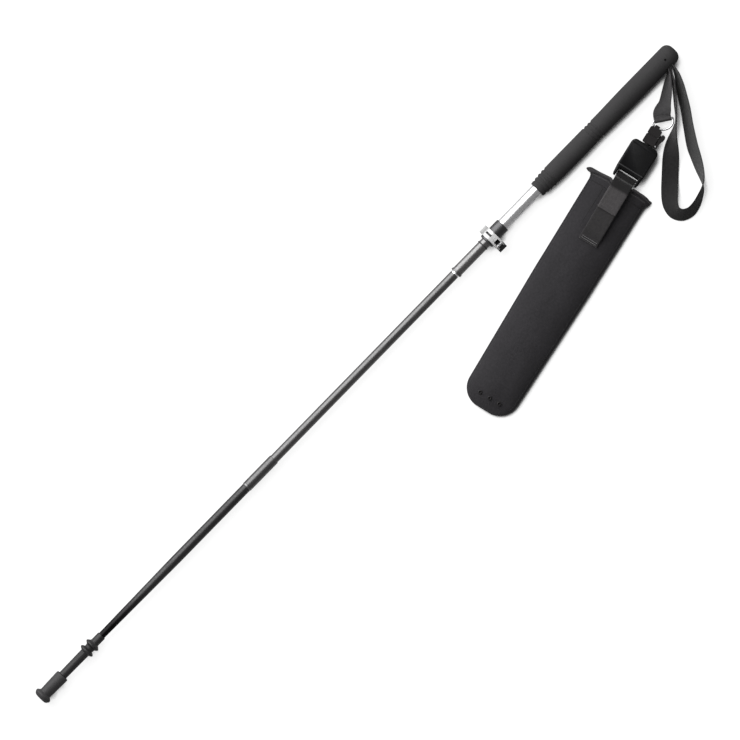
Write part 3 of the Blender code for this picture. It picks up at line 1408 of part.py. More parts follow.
def holster_stations():
    """Places along the holster, closer together at the mouth and round the bottom corners."""
    places = [HOLSTER_START + FLARE_LENGTH * share for share in (0.0, 0.35, 0.7, 1.0)]
    straight = HOLSTER_LENGTH - FLARE_LENGTH - BOTTOM_ROUND
    places += [HOLSTER_START + FLARE_LENGTH + straight * step / 8 for step in range(1, 9)]
    corner = HOLSTER_END - BOTTOM_ROUND
    places += [corner + BOTTOM_ROUND * math.sin(math.radians(angle)) for angle in (15, 30, 45, 60, 75)]
    places.append(HOLSTER_END - 0.0002)
    return places


def make_holster_back(looks):
    """The flat back panel."""
    places = holster_stations()
    side = [(place, holster_half_width(place)) for place in places]
    outline = side + [(place, -width) for place, width in reversed(side)]
    return prism("holster_back", outline, FLOOR - CHAIN_Z, BACK_TOP - CHAIN_Z, "Z", looks["neoprene"])


def puff(place, share):
    """Height of the front panel's inner face above the seam, from edge (1) to middle (0)."""
    left = HOLSTER_END - place
    end = min(1.0, left / 0.0500)
    rise = POCKET_HEIGHT * math.sin(end * math.pi / 2)
    return rise * max(0.0, 1 - share ** 2) ** 0.6


def make_holster_front(looks):
    """The front panel, which stands over the back panel and leaves a pocket."""
    rings = []
    for place in holster_stations():
        width = holster_half_width(place)
        inside = max(width - SEAM_WIDTH, 0.0010)
        spread = [-1.0, -0.9, -0.72, -0.5, -0.25, 0.0, 0.25, 0.5, 0.72, 0.9, 1.0]
        under = [(-width, 0.0)] + [(inside * share, puff(place, abs(share))) for share in spread] + [(width, 0.0)]
        over = []
        for across, height in reversed(under):
            share = abs(across) / width
            edge_drop = 0.35 * FRONT_THICKNESS if share > 0.99 else 0.0
            over.append((across, height + FRONT_THICKNESS - edge_drop))
        base = SEAM - CHAIN_Z
        rings.append([(place, across, base + height) for across, height in under + over])
    front = smooth(loft("holster_front", rings, looks["neoprene"]), 50)
    holes = []
    for index, (place, across) in enumerate(eyelet_places()):
        holes.append(rod_cutter("cut_eyelet_%d" % index, (place, across), EYELET_RADIUS - 0.0008 + FIT,
                                0.0 - CASE_HEIGHT, CASE_HEIGHT, "Z", 12))
    return cut(front, *holes)


def eyelet_places():
    """Where the three drain eyelets sit near the bottom of the holster."""
    place = HOLSTER_END - EYELET_FROM_BOTTOM
    return [(place, across) for across in (-EYELET_SPACING, 0.0, EYELET_SPACING)]


def make_eyelet(name, place, across, looks):
    """A drain eyelet, pressed into the front panel."""
    width = holster_half_width(place) - SEAM_WIDTH
    low = SEAM - CHAIN_Z + puff(place, min(1.0, abs(across) / width)) - 0.0006
    surface = low + FRONT_THICKNESS + 0.0022
    profile = [
        (low, EYELET_BORE), (low, EYELET_RADIUS - 0.0008), (surface, EYELET_RADIUS - 0.0008),
        (surface, EYELET_RADIUS), (surface + 0.0005, EYELET_RADIUS - 0.0002),
        (surface + 0.0008, EYELET_BORE + 0.0005), (surface + 0.0005, EYELET_BORE),
    ]
    eyelet = turned(name, profile, looks["plastic"], 14)
    eyelet.matrix_world = Matrix.Translation((place, across, 0.0)) @ Matrix.Rotation(-math.pi / 2, 4, "Y")
    return eyelet


def make_rim_binding(looks):
    """The rolled binding round the mouth of the holster."""
    place = HOLSTER_START - BINDING_RADIUS - FIT
    width = MOUTH_HALF_WIDTH - BINDING_RADIUS * 0.6
    low = FLOOR - CHAIN_Z + BINDING_RADIUS
    inside = MOUTH_HALF_WIDTH - SEAM_WIDTH
    points = []
    for step in range(15):
        across = -1 + 2 * step / 14
        height = SEAM - CHAIN_Z + puff(HOLSTER_START, min(1.0, abs(across) * width / inside)) + FRONT_THICKNESS / 2
        points.append((place, across * width, height))
    points.append((place, width + 0.0006, low + 0.0030))
    for step in range(9):
        across = 1 - 2 * step / 8
        points.append((place, across * (width - 0.0010), low))
    points.append((place, -width - 0.0006, low + 0.0030))
    return wire("rim_binding", points, BINDING_RADIUS, looks["webbing"], (1.0, 0.0, 0.0), closed=True, sides=6)


def make_holster_strip(looks):
    """The webbing strip: stitched to the holster, round the bar, folded back and stitched on itself."""
    surface = FRONT_TOP - CHAIN_Z
    thickness = WEB_THICKNESS
    low_layer = surface + STRIP_BELT_GAP + thickness / 2
    top_layer = low_layer + thickness + FIT
    stitched = surface + FIT + thickness / 2
    stitch = HOLSTER_START + STRIP_STITCH
    fold_end = HOLSTER_START + STRIP_FOLD_END
    round_bar = BAR_RADIUS + FIT + thickness / 2
    lower = [
        (stitch, stitched), (stitch - 0.0080, stitched), (stitch - 0.0200, low_layer),
        (fold_end, low_layer), (HOLSTER_START + 0.0015, low_layer), (HOLSTER_START - 0.0040, low_layer - 0.0016),
        (HOLSTER_START - 0.0072, low_layer - 0.0060), (HOLSTER_START - 0.0084, low_layer - 0.0110),
        (BAR_PLACE + 0.0052, -0.0014),
    ]
    loop = []
    for angle in (-80, -125, -170, -215, -262):
        turn = math.radians(angle)
        loop.append((BAR_PLACE + round_bar * math.cos(turn), round_bar * math.sin(turn)))
    upper = [
        (BAR_PLACE + 0.0040, 0.0036), (HOLSTER_START - 0.0112, low_layer - 0.0085),
        (HOLSTER_START - 0.0098, low_layer - 0.0040), (HOLSTER_START - 0.0062, low_layer + 0.0002),
        (HOLSTER_START + 0.0010, top_layer), (HOLSTER_START + 0.0180, top_layer), (fold_end, top_layer),
    ]
    route = [Vector((place, 0.0, height)) for place, height in lower + loop + upper]
    stations = [(place, Vector((0.0, 1.0, 0.0)), STRIP_WIDTH) for place in between(route, 2)]
    return ribbon("holster_strip", stations, thickness, looks["webbing"])


# Assembly

def place_in_chain(*pieces):
    """Turn pieces built along the tether's own X to where the tether lies."""
    frame = chain_matrix()
    for piece in pieces:
        piece.matrix_world = frame @ piece.matrix_world


def build_staff(looks):
    """The handle, the sections, the joints and the foot, each group on its own axis."""
    cords = make_cords(looks)
    crimp_upper, crimp_lower = make_crimps(looks)
    foot_axis = frame_at("foot_axis", (0.0, 0.0, 0.0))
    lower_axis = frame_at("lower_fold_axis", (JOINT_2, FOLD_2_OFFSET, 0.0))
    middle_axis = frame_at("upper_fold_axis", (JOINT_1, 0.0, FOLD_1_OFFSET))
    shaft_axis = frame_at("shaft_slide_axis", (CLAMP_START, 0.0, 0.0))
    button_axis = frame_at("button_axis", (BUTTON_X, 0.0, -UPPER_RADIUS))
    lever_axis = frame_at("lever_axis", (BAND_MIDDLE, -PIN_REACH, PIN_HEIGHT))
    lower_tube = make_lower_tube(looks)
    mid_tube = tube("middle_tube", MID_START, MID_TOP, MID_RADIUS, MID_BORE, looks["shaft"])
    upper_tube = tube("upper_tube", UPPER_START, UPPER_TOP, UPPER_RADIUS, UPPER_BORE, looks["shaft"])
    button_hole = rod_cutter("cut_button_hole", (BUTTON_X, 0.0), BUTTON_RADIUS + FIT,
                             -2 * UPPER_RADIUS, 0.0, "Z")
    smooth(cut(upper_tube, button_hole))
    ring_1 = make_joint_ring("upper_joint_ring", JOINT_1, UPPER_RADIUS, UPPER_BORE, looks["silver"])
    ring_2 = make_joint_ring("lower_joint_ring", JOINT_2, MID_RADIUS, MID_BORE, looks["silver"])
    bpy.context.view_layer.update()
    carry(foot_axis, make_foot(looks))
    carry(lower_axis, lower_tube, make_ferrule_2(looks), make_tip_holder(looks), make_carbide_tip(looks),
          make_tension_spring(looks), cords["cord_lower"], cords["cord_link_lower"], crimp_lower)
    carry(middle_axis, mid_tube, make_ferrule_1(looks), make_mid_sleeve(looks), ring_2,
          cords["cord_middle"], cords["cord_link_upper"])
    carry(shaft_axis, upper_tube, ring_1, make_stop_ring(looks), make_guide_bush(looks),
          make_button_spring(looks), cords["cord_upper"], crimp_upper)
    button = make_snap_button(looks)
    lever = make_lever(looks)
    bpy.context.view_layer.update()
    carry(button_axis, button)
    carry(lever_axis, lever)
    make_clamp_collar(looks)
    make_clamp_band(looks)
    make_lever_pin(looks)
    make_clamp_screw(looks)
    make_handle_tube(looks)
    make_grip(looks)
    make_grip_anchor(looks)
    make_strap_pin(looks)


def build_tether(looks):
    """The straps, the ring, the quick release, the retractor and the holster."""
    make_wrist_strap(looks)
    make_tether_webbing(looks)
    make_d_ring(looks)
    plug = make_release_plug(looks)
    socket = [make_release_socket(looks), make_latch_pin(looks)]
    latch = make_release_latch(looks)
    spool = make_spool(looks)
    retractor = [
        make_case_half("case_front", 1, looks), make_case_half("case_back", -1, looks),
        make_case_screw("case_screw_left", -1, looks), make_case_screw("case_screw_right", 1, looks),
        make_strap_bar(looks), make_nozzle(looks), make_axle(looks), make_power_spring(looks),
        make_tether_line(looks),
    ]
    holster = [
        make_holster_back(looks), make_holster_front(looks), make_rim_binding(looks), make_holster_strip(looks),
    ]
    for side, (place, across) in zip(("left", "centre", "right"), eyelet_places()):
        holster.append(make_eyelet("drain_eyelet_" + side, place, across, looks))
    place_in_chain(plug, *socket, latch, spool, *retractor, *holster)
    carry(chain_axis("plug_axis", EYE_PLACE), plug)
    carry(chain_axis("release_axis", EYE_PLACE), *socket)
    carry(chain_axis("latch_axis", *latch_pivot()), latch)
    carry(chain_axis("line_axis", CASE_START), *retractor)
    carry(chain_axis("holster_axis", BAR_PLACE), *holster)
    for piece in bpy.data.objects:
        if piece.hide_render and chain_cutter(piece.name):
            piece.matrix_world = chain_matrix() @ piece.matrix_world


def chain_axis(name, place, across=0.0):
    """An empty at a place along the tether, turned to lie with it."""
    axis = frame_at(name, (0.0, 0.0, 0.0))
    axis.matrix_world = chain_matrix() @ Matrix.Translation((place, across, 0.0))
    return axis


def chain_cutter(name):
    """Whether a hidden guide shapes a piece of the tether or the holster."""
    parts = ("plug_eye", "plug_tongue", "socket", "lug", "latch", "case_", "eyelet")
    return any(part in name for part in parts)


clear_scene()
LOOKS = make_looks()
build_staff(LOOKS)
build_tether(LOOKS)
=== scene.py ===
# %% [markdown]
# A folding wading staff, dressed for the camera.
#
# The staff is a three-section folding shaft with a rubber foot, a sliding handle tube, a cam-lever
# clamp and a foam grip. A wrist strap and a short tether leave the grip, and the tether runs through a
# quick release and a retractor to a flat holster. The measured solids are loaded first. They stay where
# they are, and everything made here is built round them in the same metres.

# %% Load the solids
import json
import math

import bmesh
import bpy
from mathutils import Matrix, Vector, noise

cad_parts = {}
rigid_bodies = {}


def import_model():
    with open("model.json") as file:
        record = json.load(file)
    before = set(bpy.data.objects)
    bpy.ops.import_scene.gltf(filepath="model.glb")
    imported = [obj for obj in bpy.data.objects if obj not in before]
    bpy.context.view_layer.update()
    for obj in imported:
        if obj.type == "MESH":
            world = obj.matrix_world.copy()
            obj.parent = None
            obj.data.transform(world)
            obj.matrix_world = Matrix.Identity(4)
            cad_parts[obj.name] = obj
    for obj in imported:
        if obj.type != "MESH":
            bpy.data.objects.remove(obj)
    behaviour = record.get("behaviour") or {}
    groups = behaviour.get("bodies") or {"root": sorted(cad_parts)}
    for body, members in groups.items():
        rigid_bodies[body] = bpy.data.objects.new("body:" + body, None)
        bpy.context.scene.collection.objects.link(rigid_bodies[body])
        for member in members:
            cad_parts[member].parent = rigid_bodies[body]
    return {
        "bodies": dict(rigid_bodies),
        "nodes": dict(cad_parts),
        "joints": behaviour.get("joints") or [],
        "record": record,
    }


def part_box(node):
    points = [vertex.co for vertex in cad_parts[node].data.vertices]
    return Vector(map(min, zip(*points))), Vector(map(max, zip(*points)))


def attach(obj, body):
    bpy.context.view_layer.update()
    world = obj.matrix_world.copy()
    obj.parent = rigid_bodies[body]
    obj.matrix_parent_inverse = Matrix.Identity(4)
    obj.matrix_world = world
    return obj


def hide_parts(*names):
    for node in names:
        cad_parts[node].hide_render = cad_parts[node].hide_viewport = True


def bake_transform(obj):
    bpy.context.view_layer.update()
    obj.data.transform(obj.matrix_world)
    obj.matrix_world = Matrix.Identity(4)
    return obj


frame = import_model()
NODES = frame["nodes"]
BODY_OF = {node: body for body, nodes in frame["record"]["behaviour"]["bodies"].items() for node in nodes}
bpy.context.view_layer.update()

# %% [markdown]
# The photograph looks straight down with a long lens, and the staff runs from the lower left to the
# upper right. One pixel is 1.4325 mm at the staff's axis. The camera is placed from those facts, far
# away, so that nothing on the floor is magnified.

# %% Camera
PIXEL = 0.0014325
PICTURE_SIDE = 740 * PIXEL
CAMERA_HEIGHT = 8.0
PICTURE_RIGHT = Vector((0.6987, -0.7154, 0.0)).normalized()
PICTURE_UP = Vector((0.7154, 0.6987, 0.0)).normalized()
PICTURE_CENTRE = Vector((0.6665, -0.0092, 0.0))
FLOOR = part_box("holster_back")[0].z

camera_data = bpy.data.cameras.new("camera")
camera_data.sensor_width = 36.0
camera_data.lens = 36.0 * CAMERA_HEIGHT / PICTURE_SIDE
camera_data.clip_end = 50.0
camera = bpy.data.objects.new("camera", camera_data)
bpy.context.scene.collection.objects.link(camera)
turned_axes = Matrix((PICTURE_RIGHT, PICTURE_UP, Vector((0.0, 0.0, 1.0)))).transposed().to_4x4()
camera.matrix_world = Matrix.Translation(PICTURE_CENTRE + Vector((0.0, 0.0, CAMERA_HEIGHT))) @ turned_axes
bpy.context.scene.camera = camera
print("lens", round(camera_data.lens, 1), "floor at", round(FLOOR * 1000, 2), "mm")

# %% [markdown]
# Materials are trees of nodes. Small helpers keep them readable: they add a node and fill its sockets,
# do sums, blend colours, start a material, feed its shader, and make and place a shared group.

# %% Node helpers
def add(tree, kind, sockets=None, **settings):
    """Add a node, set its properties, and fill or link its inputs by name or number."""
    node = tree.nodes.new(kind)
    for key, value in settings.items():
        setattr(node, key, value)
    for key, value in (sockets or {}).items():
        if isinstance(value, bpy.types.NodeSocket):
            tree.links.new(value, node.inputs[key])
        else:
            node.inputs[key].default_value = value
    return node


def calc(tree, operation, first, second=0.0, third=0.0):
    """One Math node, given as its output."""
    node = add(tree, "ShaderNodeMath", operation=operation)
    for socket, value in zip(node.inputs, (first, second, third)):
        if isinstance(value, bpy.types.NodeSocket):
            tree.links.new(value, socket)
        else:
            socket.default_value = value
    return node.outputs[0]


def spread(tree, value, low, high, to_low, to_high):
    """Map a value from one range to another, held at the ends."""
    return add(tree, "ShaderNodeMapRange", {"Value": value, "From Min": low, "From Max": high,
                                            "To Min": to_low, "To Max": to_high}).outputs[0]


def tint(tree, factor, first, second):
    """Blend two colours by a factor."""
    node = add(tree, "ShaderNodeMix", data_type="RGBA")
    for socket, value in ((node.inputs[0], factor), (node.inputs[6], first), (node.inputs[7], second)):
        if isinstance(value, bpy.types.NodeSocket):
            tree.links.new(value, socket)
        elif socket.type == "RGBA":
            socket.default_value = (*value, 1.0)
        else:
            socket.default_value = value
    return node.outputs[2]


def start_material(name, colour, roughness, **sockets):
    """A material with its Principled shader, whose steady values are set on its own sockets."""
    material = bpy.data.materials.new(name)
    material.use_nodes = True
    shader = material.node_tree.nodes["Principled BSDF"]
    shader.inputs["Base Color"].default_value = (*colour, 1.0)
    shader.inputs["Roughness"].default_value = roughness
    for key, value in sockets.items():
        shader.inputs[key.replace("_", " ")].default_value = value
    return material, material.node_tree, shader


def dress(tree, shader, colour, roughness, height, depth):
    """Feed a colour, a roughness and a relief to the shader."""
    tree.links.new(colour, shader.inputs["Base Color"])
    tree.links.new(roughness, shader.inputs["Roughness"])
    node = add(tree, "ShaderNodeBump", {"Strength": 1.0, "Distance": depth, "Height": height})
    tree.links.new(node.outputs[0], shader.inputs["Normal"])


def scale_colour(tree, into, out, level):
    """Send a group's colour out, times a level."""
    scaled = add(tree, "ShaderNodeVectorMath", {0: into["Colour"]}, operation="SCALE")
    tree.links.new(level, scaled.inputs["Scale"])
    tree.links.new(scaled.outputs[0], out["Colour"])


def group(name, inputs, outputs):
    """Start a node group with named sockets, each given as a kind and a starting value."""
    tree = bpy.data.node_groups.new(name, "ShaderNodeTree")
    for socket, (kind, value) in inputs.items():
        made = tree.interface.new_socket(name=socket, in_out="INPUT", socket_type="NodeSocket" + kind)
        if value is not None:
            made.default_value = value
    for socket, kind in outputs.items():
        tree.interface.new_socket(name=socket, in_out="OUTPUT", socket_type="NodeSocket" + kind)
    return tree, add(tree, "NodeGroupInput").outputs, add(tree, "NodeGroupOutput").inputs


def use(tree, shared, **sockets):
    """Place a shared group in a material."""
    return add(tree, "ShaderNodeGroup", {key.replace("_", " "): value for key, value in sockets.items()},
               node_tree=shared).outputs


# %% [markdown]
# Foam, rubber, moulded plastic and coated cloth all have a fine grain: a few tenths of a millimetre of
# relief, with a slow drift of tone over centimetres. One group makes both from noise, and every material
# that uses it gives its own grain size, colour and depth.

# %% Shared effect: grain
GRAIN, into, out = group(
    "grain",
    {"Vector": ("Vector", None), "Grains per metre": ("Float", 900.0),
     "Colour": ("Color", (0.1, 0.1, 0.1, 1.0)), "Tone drift": ("Float", 0.2),
     "Speckle": ("Float", 0.1), "Roughness": ("Float", 0.7)},
    {"Colour": "Color", "Roughness": "Float", "Height": "Float"})
fine = add(GRAIN, "ShaderNodeTexNoise", {"Vector": into["Vector"], "Scale": into["Grains per metre"],
                                         "Detail": 3.0, "Roughness": 0.6}).outputs[0]
slow = add(GRAIN, "ShaderNodeTexNoise", {"Vector": into["Vector"], "Scale": 34.0, "Detail": 3.0}).outputs[0]
drift = calc(GRAIN, "MULTIPLY", calc(GRAIN, "SUBTRACT", slow, 0.5), into["Tone drift"])
dots = calc(GRAIN, "MULTIPLY", calc(GRAIN, "SUBTRACT", fine, 0.5), into["Speckle"])
level = calc(GRAIN, "ADD", 1.0, calc(GRAIN, "MULTIPLY", calc(GRAIN, "ADD", drift, dots), 2.0))
scale_colour(GRAIN, into, out, level)
GRAIN.links.new(calc(GRAIN, "ADD", into["Roughness"], calc(GRAIN, "MULTIPLY", drift, 0.5)), out["Roughness"])
GRAIN.links.new(fine, out["Height"])
print("group", GRAIN.name)

# %% [markdown]
# Flat webbing is a plain weave pulled tight: short yarn bumps in rows, each row shifted by half a bump.
# The colour is darkened between the bumps, by the amount given as Shade between: painted shade.
# The straps carry a map of their own in metres, along and across, so the yarns keep their real size and
# follow every bend. The group is used by the straps, the strip and the binding.

# %% Shared effect: weave
WEAVE, into, out = group(
    "weave",
    {"Vector": ("Vector", None), "Row pitch": ("Float", 0.0011), "Yarn pitch": ("Float", 0.0013),
     "Colour": ("Color", (0.1, 0.1, 0.1, 1.0)), "Shade between": ("Float", 0.45)},
    {"Colour": "Color", "Height": "Float", "Roughness": "Float"})
split = add(WEAVE, "ShaderNodeSeparateXYZ", {0: into["Vector"]}).outputs
row = calc(WEAVE, "DIVIDE", split[0], into["Row pitch"])
shift = calc(WEAVE, "MULTIPLY", calc(WEAVE, "MODULO", calc(WEAVE, "FLOOR", row), 2.0), 0.5)
yarn = calc(WEAVE, "ADD", calc(WEAVE, "DIVIDE", split[1], into["Yarn pitch"]), shift)
row_bump = calc(WEAVE, "ABSOLUTE", calc(WEAVE, "SINE", calc(WEAVE, "MULTIPLY", row, math.pi)))
yarn_bump = calc(WEAVE, "ABSOLUTE", calc(WEAVE, "SINE", calc(WEAVE, "MULTIPLY", yarn, math.pi)))
relief = calc(WEAVE, "POWER", calc(WEAVE, "MULTIPLY", row_bump, yarn_bump), 0.5)
fluff = add(WEAVE, "ShaderNodeTexNoise", {"Vector": into["Vector"], "Scale": 260.0, "Detail": 4.0}).outputs[0]
# Painted shade: the colour is darker where the relief is low, between the yarn bumps, and the fluff below
# adds a random tone.
shade = calc(WEAVE, "SUBTRACT", 1.0, calc(WEAVE, "MULTIPLY", into["Shade between"],
                                          calc(WEAVE, "SUBTRACT", 1.0, relief)))
shade = calc(WEAVE, "MULTIPLY", shade, spread(WEAVE, fluff, 0.3, 0.7, 0.86, 1.14))
scale_colour(WEAVE, into, out, shade)
WEAVE.links.new(relief, out["Height"])
WEAVE.links.new(spread(WEAVE, relief, 0.0, 1.0, 0.95, 0.72), out["Roughness"])
print("group", WEAVE.name)

# %% [markdown]
# Metal that is handled outdoors is never one tone. It carries turning lines round the axis, faint
# smudges, and a dulled film. The group gives a value for the lines and a roughness with smudges in it,
# and each metal sets how much of them it shows.

# %% Shared effect: handled metal
TURNING_LINES = (2600.0, 60.0, 60.0)
HANDLED, into, out = group(
    "handled_metal",
    {"Vector": ("Vector", None), "Line scale": ("Vector", TURNING_LINES), "Lines": ("Float", 0.5),
     "Colour": ("Color", (0.8, 0.8, 0.8, 1.0)), "Roughness": ("Float", 0.25), "Smudge": ("Float", 0.2)},
    {"Colour": "Color", "Roughness": "Float", "Height": "Float"})
stretched = add(HANDLED, "ShaderNodeVectorMath", {0: into["Vector"], 1: into["Line scale"]},
                operation="MULTIPLY").outputs[0]
lines = add(HANDLED, "ShaderNodeTexNoise", {"Vector": stretched, "Scale": 1.0, "Detail": 2.0}).outputs[0]
smudge = add(HANDLED, "ShaderNodeTexNoise", {"Vector": into["Vector"], "Scale": 70.0, "Detail": 5.0,
                                             "Roughness": 0.6}).outputs[0]
film = calc(HANDLED, "MULTIPLY", spread(HANDLED, smudge, 0.35, 0.7, 0.0, 1.0), into["Smudge"])
tone = calc(HANDLED, "SUBTRACT", 1.0, calc(HANDLED, "MULTIPLY", film, 0.35))
tone = calc(HANDLED, "SUBTRACT", tone, calc(HANDLED, "MULTIPLY", calc(HANDLED, "SUBTRACT", lines, 0.5),
                                            calc(HANDLED, "MULTIPLY", into["Lines"], 0.3)))
scale_colour(HANDLED, into, out, tone)
film_rough = calc(HANDLED, "ADD", into["Roughness"], calc(HANDLED, "MULTIPLY", film, 0.6))
HANDLED.links.new(film_rough, out["Roughness"])
HANDLED.links.new(lines, out["Height"])
print("group", HANDLED.name)


# %% [markdown]
# Now the finishes themselves. Grainy ones differ in colour, grain and gloss, so one function makes them
# from a few values. Object coordinates are in the part's own metres here, because every piece is built
# in place.

# %% Grainy finishes
def grainy(name, colour, roughness, grains, depth, drift=0.2, speckle=0.1, **sockets):
    """Foam, rubber, plastic or coated cloth."""
    material, tree, shader = start_material(name, colour, roughness, **sockets)
    place = add(tree, "ShaderNodeTexCoord").outputs["Object"]
    made = use(tree, GRAIN, Vector=place, Grains_per_metre=grains, Colour=(*colour, 1.0),
               Tone_drift=drift, Speckle=speckle, Roughness=roughness)
    dress(tree, shader, made["Colour"], made["Roughness"], made["Height"], depth)
    return material


FOAM = grainy("closed_cell_foam", (0.040, 0.039, 0.040), 0.85, 1300.0, 0.00022, 0.25, 0.35,
              Specular_IOR_Level=0.2)
RUBBER = grainy("moulded_rubber", (0.042, 0.041, 0.042), 0.6, 900.0, 0.00008, Specular_IOR_Level=0.3)
PLASTIC = grainy("satin_plastic", (0.0140, 0.0124, 0.0130), 0.42, 1500.0, 0.00003, Specular_IOR_Level=0.22)
CASE_PLASTIC = grainy("textured_plastic", (0.0052, 0.0052, 0.0056), 0.34, 2200.0, 0.00006, 0.25, 0.2,
                      Specular_IOR_Level=0.14)
# A pale colour that paints a bright highlight line.
PALE_HIGHLIGHT_ROD = grainy("pale_rod_painted_highlight", (0.62, 0.62, 0.62), 0.4, 2200.0, 0.00002, 0.1, 0.1)
# Far lighter than the case plastic: a painted highlight along the rib.
LIT_RIB_PLASTIC = grainy("rib_plastic_painted_highlight", (0.030, 0.030, 0.031), 0.30, 2200.0, 0.00004, Specular_IOR_Level=0.5)
HOLDER = grainy("moulded_holder", (0.014, 0.0136, 0.014), 0.5, 1500.0, 0.00004, Specular_IOR_Level=0.4)
CORD = grainy("coated_cord", (0.03, 0.03, 0.03), 0.5, 2600.0, 0.00006, 0.2, 0.3)
THREAD = grainy("sewing_thread", (0.045, 0.044, 0.045), 0.8, 3000.0, 0.00004, 0.2, 0.3)
PALE_THREAD = grainy("tack_thread", (0.150, 0.145, 0.150), 0.7, 3000.0, 0.00004, 0.2, 0.2)
# Near black, for painted shadow lines along edges on the holster's front.
EDGE_SHADE_CORD = grainy("painted_edge_shade", (0.008, 0.0075, 0.008), 0.9, 3000.0, 0.00004, 0.2, 0.2)
print("grainy finishes", 11)


# %% [markdown]
# Bare metal: the handle tube and joint rings are turned and polished, the lever is cast and tumbled, and
# the ring is plated wire. They share the handled-metal group with different lines and smudges.

# %% Metals
POLISH_RELIEF = 0.00001


def metal(name, colour, roughness, line_scale, lines, smudge, depth=POLISH_RELIEF):
    """A bare metal with turning lines and a film of handling."""
    material, tree, shader = start_material(name, colour, roughness, Metallic=1.0)
    place = add(tree, "ShaderNodeTexCoord").outputs["Object"]
    made = use(tree, HANDLED, Vector=place, Line_scale=line_scale, Lines=lines, Colour=(*colour, 1.0),
               Roughness=roughness, Smudge=smudge)
    dress(tree, shader, made["Colour"], made["Roughness"], made["Height"], depth)
    return material


TUBE_METAL = metal("satin_aluminium", (0.85, 0.85, 0.86), 0.24, TURNING_LINES, 0.5, 0.2)
COLLAR = metal("anodised_black", (0.085, 0.085, 0.087), 0.36, TURNING_LINES, 0.3, 0.2)
CAST_METAL = metal("tumbled_aluminium", (0.50, 0.50, 0.50), 0.40, (700.0, 700.0, 700.0), 0.5, 0.35, 0.00003)
# The clamp band is darker than the collar: partly its own dark finish, and partly painted shade for the
# lever's slot, through which it shows.
SLOT_SHADED_BAND = metal("band_metal_shaded", (0.050, 0.050, 0.051), 0.45, TURNING_LINES, 0.3, 0.2)
DARK_PIN = metal("blackened_pin", (0.030, 0.030, 0.031), 0.60, (1800.0, 1800.0, 1800.0), 0.4, 0.3)
RING_METAL = metal("plated_wire", (0.74, 0.74, 0.75), 0.18, (400.0, 400.0, 400.0), 0.3, 0.2)
STEEL = metal("plain_steel", (0.50, 0.50, 0.51), 0.34, (1800.0, 1800.0, 1800.0), 0.6, 0.3)
CARBIDE = metal("ground_carbide", (0.30, 0.30, 0.31), 0.42, (2400.0, 300.0, 300.0), 0.8, 0.2)
print("metals", 8)

# %% [markdown]
# The shaft sections are a dark wrapped composite under clear lacquer: bright where they mirror the lamp,
# and almost black beside it. Close up, the wrap shows as faint bands that wind round the tube, so the
# band's value comes from the place along the tube plus the angle round it. Light and shade along the
# staff are painted into the sections: the upper one has a lighter colour and a stronger mirror, the lower
# one a darker colour and a weaker mirror, and the lower section's first stretch fades to near black and
# mirrors little, as painted shade toward the foot.

# %% Shaft finish
WRAP_PITCH = 0.0120
FOOT_SHADE_EDGE = 0.1815
LACQUER = (0.028, 0.026, 0.027)


def shaft_finish(name, colour, specular, roughness=0.22, foot_shade=False, ior=1.6):
    """Wrapped composite under lacquer, whose lowest stretch can fade to near black and mirror little, as
    painted shade toward the foot.
    """
    material, tree, shader = start_material(name, colour, roughness, IOR=ior, Specular_IOR_Level=specular)
    place = add(tree, "ShaderNodeTexCoord").outputs["Object"]
    parts = add(tree, "ShaderNodeSeparateXYZ", {0: place}).outputs
    angle = calc(tree, "DIVIDE", calc(tree, "ARCTAN2", parts[1], parts[2]), 2 * math.pi)
    turns = calc(tree, "DIVIDE", parts[0], WRAP_PITCH)
    left = calc(tree, "SINE", calc(tree, "MULTIPLY", calc(tree, "ADD", turns, angle), 2 * math.pi))
    right = calc(tree, "SINE", calc(tree, "MULTIPLY", calc(tree, "SUBTRACT", turns, angle), 2 * math.pi))
    cross = calc(tree, "MULTIPLY", left, right)
    made = use(tree, HANDLED, Vector=place, Line_scale=(1500.0, 90.0, 90.0), Lines=0.8, Colour=(*colour, 1.0),
               Roughness=roughness, Smudge=0.25)
    darker = tuple(0.5 * part for part in colour)
    tone = tint(tree, spread(tree, cross, -0.3, 0.3, 0.0, 0.7), made["Colour"], darker)
    rough = calc(tree, "ADD", made["Roughness"], spread(tree, cross, -0.3, 0.3, 0.0, 0.08))
    # Painted shade toward the foot: below the edge the colour fades to near black and turns metallic, so it
    # mirrors little, and it is rougher.
    if foot_shade:
        past = calc(tree, "GREATER_THAN", parts[0], FOOT_SHADE_EDGE)
        black = spread(tree, parts[0], FOOT_SHADE_EDGE - 0.035, FOOT_SHADE_EDGE + 0.045, 1.0, 0.0)
        tone = tint(tree, black, tone, (0.011, 0.0105, 0.011))
        rough = spread(tree, past, 0.0, 1.0, 0.40, rough)
        tree.links.new(black, shader.inputs["Metallic"])
    dress(tree, shader, tone, rough, made["Height"], POLISH_RELIEF)
    return material


# The upper section has a lighter colour and a stronger mirror than the middle, and the lower one a darker
# colour and a weaker mirror: painted light and shade along the staff, brightest at the top.
SHADED_LOWER_SHAFT = shaft_finish("wrapped_lower_shaft", (0.020, 0.019, 0.020), 0.35, 0.26, foot_shade=True)
SHAFT = shaft_finish("wrapped_shaft", LACQUER, 0.95)
LIT_UPPER_SHAFT = shaft_finish("wrapped_upper_shaft", (0.044, 0.040, 0.041), 1.0, 0.19, ior=1.74)
SLEEVE = shaft_finish("wrapped_sleeve", LACQUER, 0.8)


